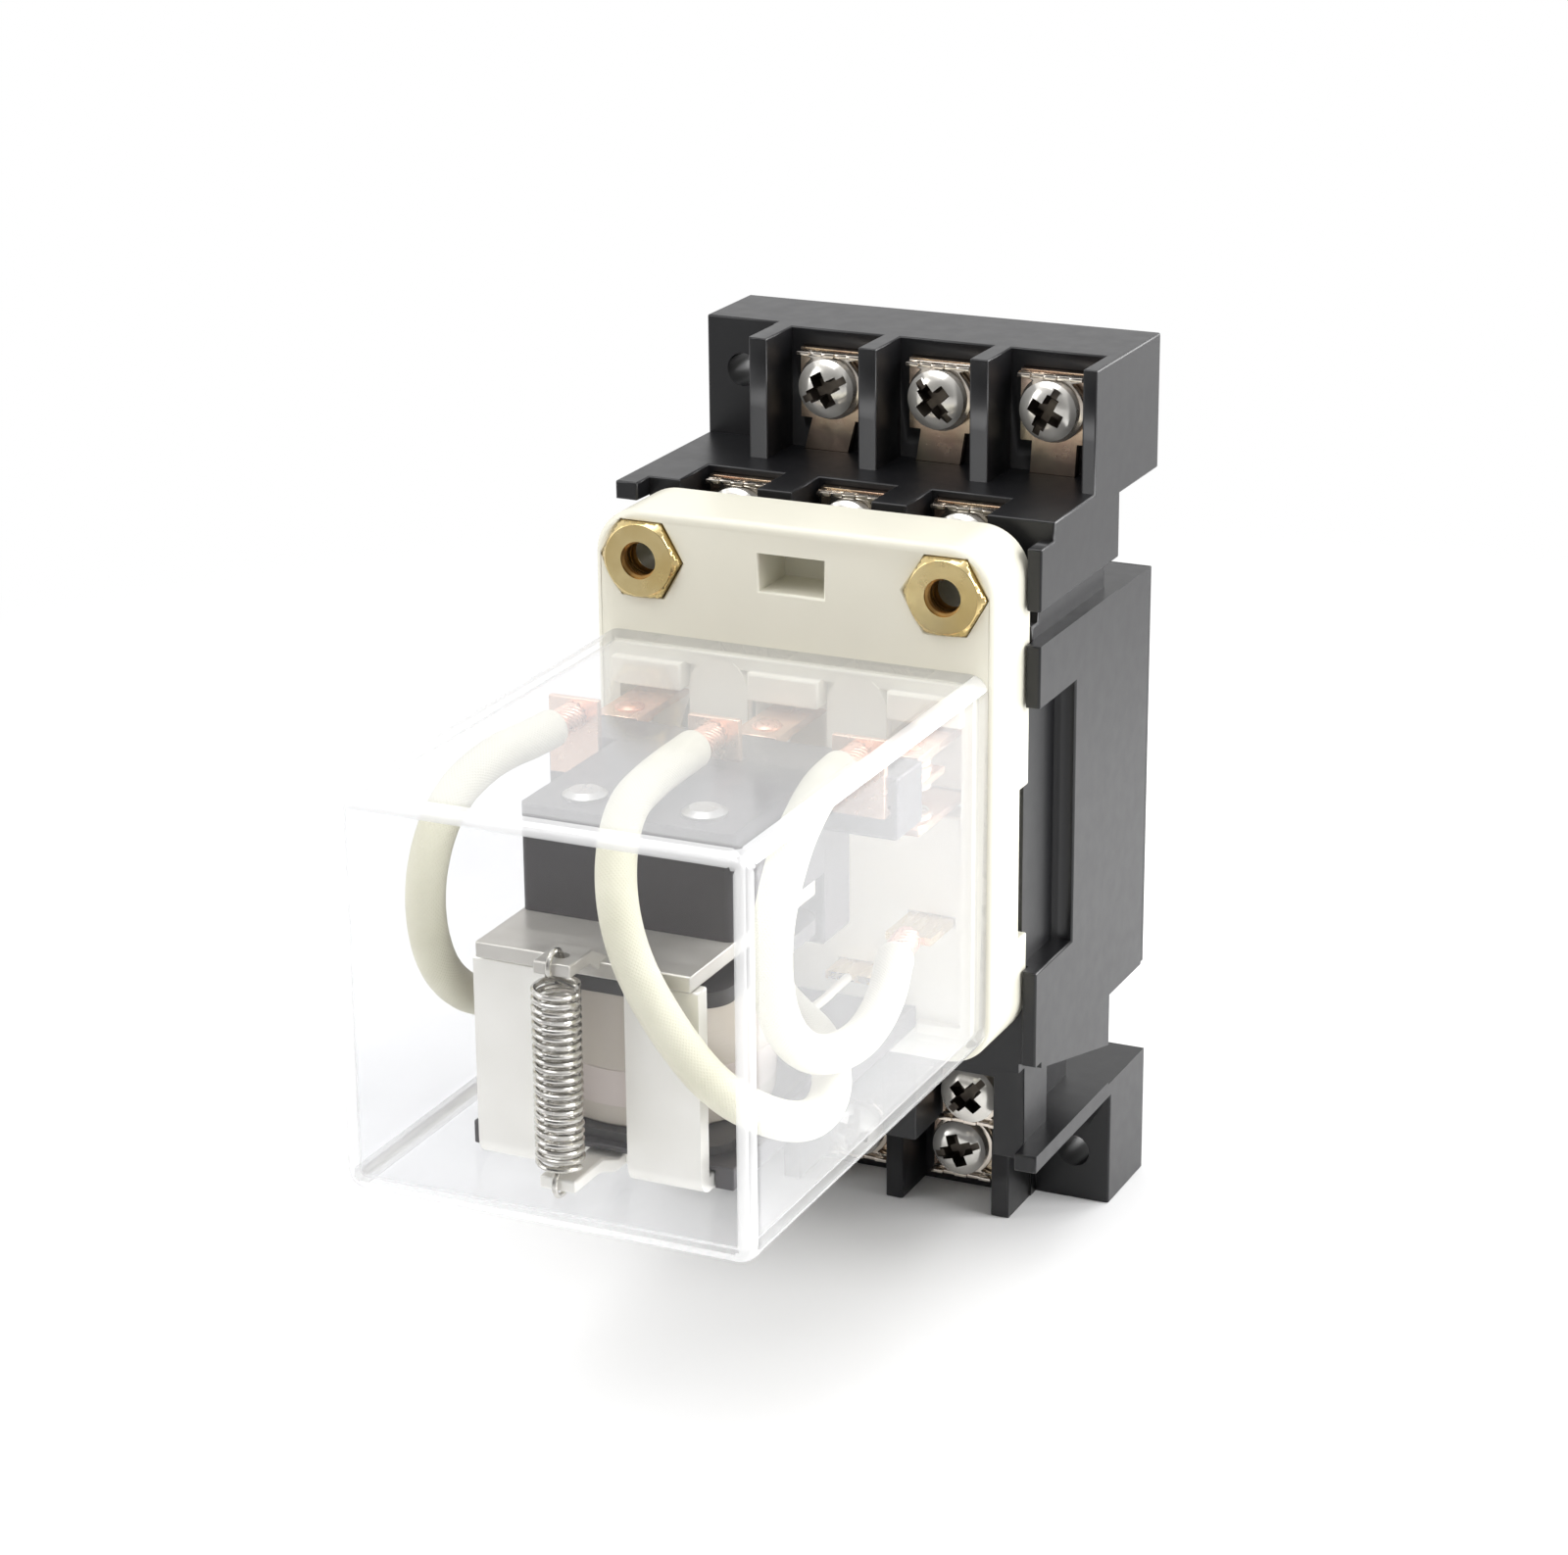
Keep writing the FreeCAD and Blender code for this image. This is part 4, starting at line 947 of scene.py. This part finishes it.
# %% Turned pieces
def turned(name, profile, place, material, body, sides=40):
    """A ring of quads for each step of a closed profile of (radius, height) points, in millimetres."""
    mesh = bpy.data.meshes.new(name)
    work = bmesh.new()
    rings = []
    for radius, height in profile:
        points = []
        for k in range(sides):
            angle = 2 * math.pi * k / sides
            offset = Vector((radius * math.cos(angle), radius * math.sin(angle), height)) * MM
            points.append(work.verts.new(Vector(place) * MM + offset))
        rings.append(points)
    for ring, following in zip(rings, rings[1:] + rings[:1]):
        for k in range(sides):
            after = (k + 1) % sides
            work.faces.new((ring[k], ring[after], following[after], following[k]))
    bmesh.ops.remove_doubles(work, verts=work.verts, dist=weld_gap)
    bmesh.ops.recalc_face_normals(work, faces=work.faces)
    work.to_mesh(mesh)
    work.free()
    smooth_by_angle(mesh, 40)
    piece = show(name, mesh, material)
    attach(piece, body)
    return piece


pole_x = (-19.5, 0.0, 19.5)
contact_out = 60.0
button_profile = [(0, 0.03), (2.6, 0.02), (3.05, -0.2), (3.05, -0.7), (0, -0.7)]
riveted_level = 20.0
# The levels of the buttons' faces on each kind of contact, and whether the face looks up or down.
button_faces = {"contact_nc_": [(17.8, -1)], "moving_contact_": [(17.7, 1), (14.7, -1)],
                "contact_no_": [(11.5, 1)]}
for kind, faces in button_faces.items():
    body = body_of_node(kind + "1")
    for pole, x in enumerate(pole_x, 1):
        for level, way in faces:
            profile = [(radius, height * way) for radius, height in button_profile]
            name = "button_%s%d_%d" % (kind, pole, round(level))
            turned(name, profile, (x, -contact_out, level), button_silver, body, 28)
riveted_end = [(0, -0.2), (1.9, -0.2), (1.95, 0.1), (1.6, 0.42), (0.9, 0.56), (0, 0.6)]
for pole, x in enumerate(pole_x, 1):
    turned("riveted_end_%d" % pole, riveted_end, (x, -contact_out, riveted_level), copper_braid,
           body_of_node("contact_nc_1"), 28)
print("buttons and riveted ends set at", len(pole_x), "poles")

# %% [markdown]
# The magnet stands behind the front legs: a coil on a dark bobbin, wrapped in film, with a band round it
# where a real one has its voltage printed. The band is left bare. Film never lies quite flat, so its
# profile swells a little between the flanges.

# %% Magnet
rounded_copy("magnet_frame", carrier_black, 0.2)
rounded_copy("yoke", yoke_nickel, 0.3, 3)
rounded_copy("bobbin", bobbin_dark, 0.25)
dress(["core"], core_iron)
low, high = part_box("winding")
bottom, top = low[2] / MM, high[2] / MM
coil_out = -(low[1] + high[1]) / 2 / MM
tall = top - bottom
film_profile = [(6.4, 0.0), (13.6, 0.0), (13.9, 0.3), (13.99, 0.25 * tall), (13.94, 0.5 * tall),
                (13.99, 0.75 * tall), (13.9, tall - 0.3), (13.6, tall), (6.4, tall)]
film = turned("winding_film", film_profile, (0, -coil_out, bottom), coil_film, body_of_node("winding"), 72)
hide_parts("winding")
band_profile = [(13.9, 2.6), (14.06, 2.7), (14.08, 5.0), (14.06, 7.3), (13.9, 7.4)]
turned("coil_band", band_profile, (0, -coil_out, bottom), label_band, body_of_node("winding"), 72)
print("coil is", round(tall, 2), "mm tall")

# %% [markdown]
# The armature, its carrier and the two rivets that hold them together tilt as one body.

# %% Armature and carrier
rivet_x = 8.0
rivet_ahead = 3.5
rivet_level = 20.6
rounded_copy("armature", armature_iron, 0.2)
rounded_copy("contact_carrier", carrier_black, 0.35, 3)
dress(["armature_rivets"], rivet_steel)
rivet_head = [(0, -0.4), (2.6, -0.4), (2.8, -0.2), (2.8, 0.15), (2.45, 0.55), (1.7, 0.8), (0.8, 0.88),
              (0, 0.9)]
for side, name in ((-1, "left"), (1, "right")):
    turned("rivet_head_" + name, rivet_head, (side * rivet_x, -(coil_out + rivet_ahead), rivet_level),
           rivet_steel, body_of_node("armature_rivets"), 36)
print("rivet heads stand", round(rivet_head[-1][1], 2), "mm above the carrier")

# %% [markdown]
# The spring hooks over the armature's tail and the yoke's tongue. It stretches as the armature tilts.

# %% Spring in place
spring_out = 0.118
low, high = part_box("return_spring")
spring_values = {"Place": Vector((0, -spring_out, 0)), "Bottom": -16.4 * MM, "Height": 22.7 * MM,
                 "Ring Shift": 0.0, "Metal": spring_steel}
spring = grow("return_spring_wound", spring_tree(), spring_values)
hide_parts("return_spring")
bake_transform(spring)
print("spring stands", round((high[2] - low[2]) / MM, 1), "mm with its rings")

# %% [markdown]
# Three flexible leads join the moving contacts to the common pins. Each is copper braid in a white woven
# sleeve. A lead's line is one smooth NURBS spline with the route's points as its control points, in metres.
# The outer leads are mirror images, and so are the coil's two wires.
# The sleeve is a tube along that line, and at both ends the bare strands show.

# %% Lead routes
right_lead = [
    (0.01950, -0.07550, 0.02350), (0.01950, -0.08400, 0.02350), (0.02140, -0.09350, 0.02360),
    (0.02270, -0.10300, 0.02040), (0.02290, -0.10870, 0.01160), (0.02290, -0.10650, 0.00050),
    (0.02290, -0.09700, -0.00750), (0.02290, -0.08350, -0.01100), (0.02180, -0.07200, -0.00960),
    (0.01950, -0.06400, -0.00600), (0.01950, -0.06000, -0.00600)]
middle_lead = [
    (0.00000, -0.07550, 0.02350), (0.00000, -0.08400, 0.02350), (0.00060, -0.09350, 0.02370),
    (0.00180, -0.10350, 0.02340), (0.00460, -0.11190, 0.01800), (0.00780, -0.11510, 0.01020),
    (0.01260, -0.11510, 0.00200), (0.01820, -0.11310, -0.00620), (0.02240, -0.10490, -0.01260),
    (0.02260, -0.09450, -0.01640), (0.02060, -0.08510, -0.01590), (0.01540, -0.07710, -0.01390),
    (0.00940, -0.07250, -0.01320), (0.00500, -0.06930, -0.01190), (0.00180, -0.06670, -0.00940),
    (0.00000, -0.06400, -0.00600), (0.00000, -0.06000, -0.00600)]
right_wire = [
    (0.00600, -0.07798, -0.01640), (0.00680, -0.07000, -0.01620), (0.00910, -0.06400, -0.01500),
    (0.00975, -0.06000, -0.01400), (0.00975, -0.05700, -0.01400)]


def mirrored(route):
    """The same route on the left side."""
    return [(-x, y, z) for x, y, z in route]


lead_routes = {"lead_1": mirrored(right_lead), "lead_2": middle_lead, "lead_3": right_lead}
coil_wire_routes = {"coil_wire_1": mirrored(right_wire), "coil_wire_2": right_wire}


def smooth_line(points, steps=10):
    """The points of a NURBS spline, read from a curve with no bevel."""
    curve = bpy.data.curves.new("line", "CURVE")
    curve.dimensions = "3D"
    spline = curve.splines.new("NURBS")
    spline.points.add(len(points) - 1)
    for point, place in zip(spline.points, points):
        point.co = (*place, 1)
    spline.order_u = 3
    spline.use_endpoint_u = True
    spline.resolution_u = steps
    holder = bpy.data.objects.new("line", curve)
    bpy.context.scene.collection.objects.link(holder)
    bpy.context.view_layer.update()
    mesh = bpy.data.meshes.new_from_object(holder)
    line = [vertex.co.copy() for vertex in mesh.vertices]
    bpy.data.objects.remove(holder)
    return line


def line_length(line):
    """The length of a line, run by run."""
    return sum((after - before).length for before, after in zip(line, line[1:]))


def stretch_of(line, start, end):
    """The part of a line between two lengths along it."""
    kept = []
    travelled = 0.0
    for before, after in zip(line, line[1:]):
        run = (after - before).length
        for limit in (start, end):
            if travelled <= limit < travelled + run:
                kept.append(before.lerp(after, (limit - travelled) / run))
        travelled += run
        if start < travelled < end:
            kept.append(after)
    return kept


# %% [markdown]
# A tube needs a frame that doesn't twist as the line bends. The side direction is carried from point to
# point, and turned only as far as the line itself turns. The tube's UV map counts its length in metres
# times a hundred, so the weave has the same size everywhere.

# %% Tubes
def carried_frames(line):
    """For each point of a line, two directions across it that don't twist."""
    ways = [(after - before).normalized() for before, after in zip(line, line[1:])]
    ways.append(ways[-1])
    side = ways[0].orthogonal().normalized()
    frames = []
    for before, way in zip([ways[0]] + ways, ways):
        side = before.rotation_difference(way) @ side
        side = (side - way * side.dot(way)).normalized()
        frames.append((side, way.cross(side)))
    return frames


def add_tube(work, line, radii, sides, slot):
    """A capped tube along a line, in an open bmesh, with its UV map and material slot."""
    uv_layer = work.loops.layers.uv.get("sleeve") or work.loops.layers.uv.new("sleeve")
    rings = []
    for point, radius, (side, other) in zip(line, radii, carried_frames(line)):
        ring = []
        for k in range(sides):
            angle = 2 * math.pi * k / sides
            ring.append(work.verts.new(point + (side * math.cos(angle) + other * math.sin(angle)) * radius))
        rings.append(ring)
    travelled = 0.0
    for step in range(len(rings) - 1):
        run = (line[step + 1] - line[step]).length
        for k in range(sides):
            after = (k + 1) % sides
            ring, following = rings[step], rings[step + 1]
            face = work.faces.new((ring[k], ring[after], following[after], following[k]))
            face.material_index = slot
            face.smooth = True
            corners = ((k, travelled), (k + 1, travelled), (k + 1, travelled + run), (k, travelled + run))
            for loop, (around, along) in zip(face.loops, corners):
                loop[uv_layer].uv = (around / sides * 1.5, along * 100)
        travelled += run
    for ring, turned_round in ((rings[0], True), (rings[-1], False)):
        cap = work.faces.new(list(reversed(ring)) if turned_round else ring)
        cap.material_index = slot


def strand_lines(line, count, radius, twist):
    """Lines that wind round a line as the strands of a cable do."""
    frames = carried_frames(line)
    lines = []
    for strand in range(count):
        points = []
        for step, (point, (side, other)) in enumerate(zip(line, frames)):
            angle = 2 * math.pi * strand / count + twist * step
            points.append(point + (side * math.cos(angle) + other * math.sin(angle)) * radius)
        lines.append(points)
    return lines


def finer(line, step):
    """The same line with points no further apart than a step."""
    points = [line[0]]
    for before, after in zip(line, line[1:]):
        parts = max(1, math.ceil((after - before).length / step))
        points += [before.lerp(after, k / parts) for k in range(1, parts + 1)]
    return points


# %% [markdown]
# The sleeve is drawn back at both ends, and a core with eleven strands round it shows there. A lead bends as
# the armature tilts.

# %% Leads
bare_start = 5.5 * MM
bare_end = 4.5 * MM
under_sleeve = 1.5 * MM
end_gap = 0.05 * MM
sleeve_radius = 2.46 * MM
sleeve_end_share = 0.9
core_radius = 1.2 * MM
strands = 11
strand_radius = 0.46 * MM
strand_ring = 1.45 * MM
strand_twist = 0.28


def sleeved_lead(name, line):
    """A sleeved lead along a line, with the bare strands at both ends."""
    whole = line_length(line)
    sleeve_line = finer(stretch_of(line, bare_start, whole - bare_end), 1.2 * MM)
    radii = [sleeve_radius] * len(sleeve_line)
    radii[0] = radii[-1] = sleeve_radius * sleeve_end_share
    work = bmesh.new()
    add_tube(work, sleeve_line, radii, 28, 0)
    bare = ((0.0, bare_start + under_sleeve), (whole - bare_end - under_sleeve, whole - end_gap))
    for start, end in bare:
        core_line = finer(stretch_of(line, start, end), 0.5 * MM)
        add_tube(work, core_line, [core_radius] * len(core_line), 12, 1)
        for strand in strand_lines(core_line, strands, strand_ring, strand_twist):
            add_tube(work, strand, [strand_radius] * len(strand), 6, 1)
    mesh = bpy.data.meshes.new(name)
    work.to_mesh(mesh)
    work.free()
    lead = show(name, mesh)
    for material in (sleeve_white, copper_braid):
        mesh.materials.append(material)
    return lead


for name, route in lead_routes.items():
    line = smooth_line(route)
    sleeved = sleeved_lead(name + "_sleeved", line)
    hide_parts(name)
    x = route[0][0]
    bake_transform(sleeved)
    print(name, "is", round(line_length(line) / MM, 1), "mm along its spline")

# %% [markdown]
# The coil's two wires are thin, with a pale insulation. They run the short way from the bobbin to the tails
# of the coil's blades.

# %% Coil wires
wire_outer_radius = 0.6 * MM
work = bmesh.new()
for name, route in coil_wire_routes.items():
    line = finer(smooth_line(route), 0.8 * MM)
    add_tube(work, line, [wire_outer_radius] * len(line), 12, 0)
    print(name, "is", round(line_length(line) / MM, 1), "mm")
mesh = bpy.data.meshes.new("coil_wires_insulated")
work.to_mesh(mesh)
work.free()
wires = show("coil_wires_insulated", mesh, wire_pale)
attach(wires, body_of_node("coil_wires"))
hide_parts("coil_wires")

# %% [markdown]
# The dressed model has to keep the CAD model's size, so both boxes are written down side by side.

shown_low, shown_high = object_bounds()
for axis, label in enumerate("XYZ"):
    cad_size = cad_high[axis] - cad_low[axis]
    shown_size = shown_high[axis] - shown_low[axis]
    print(label, "CAD", round(cad_size, 4), "shown", round(shown_size, 4))
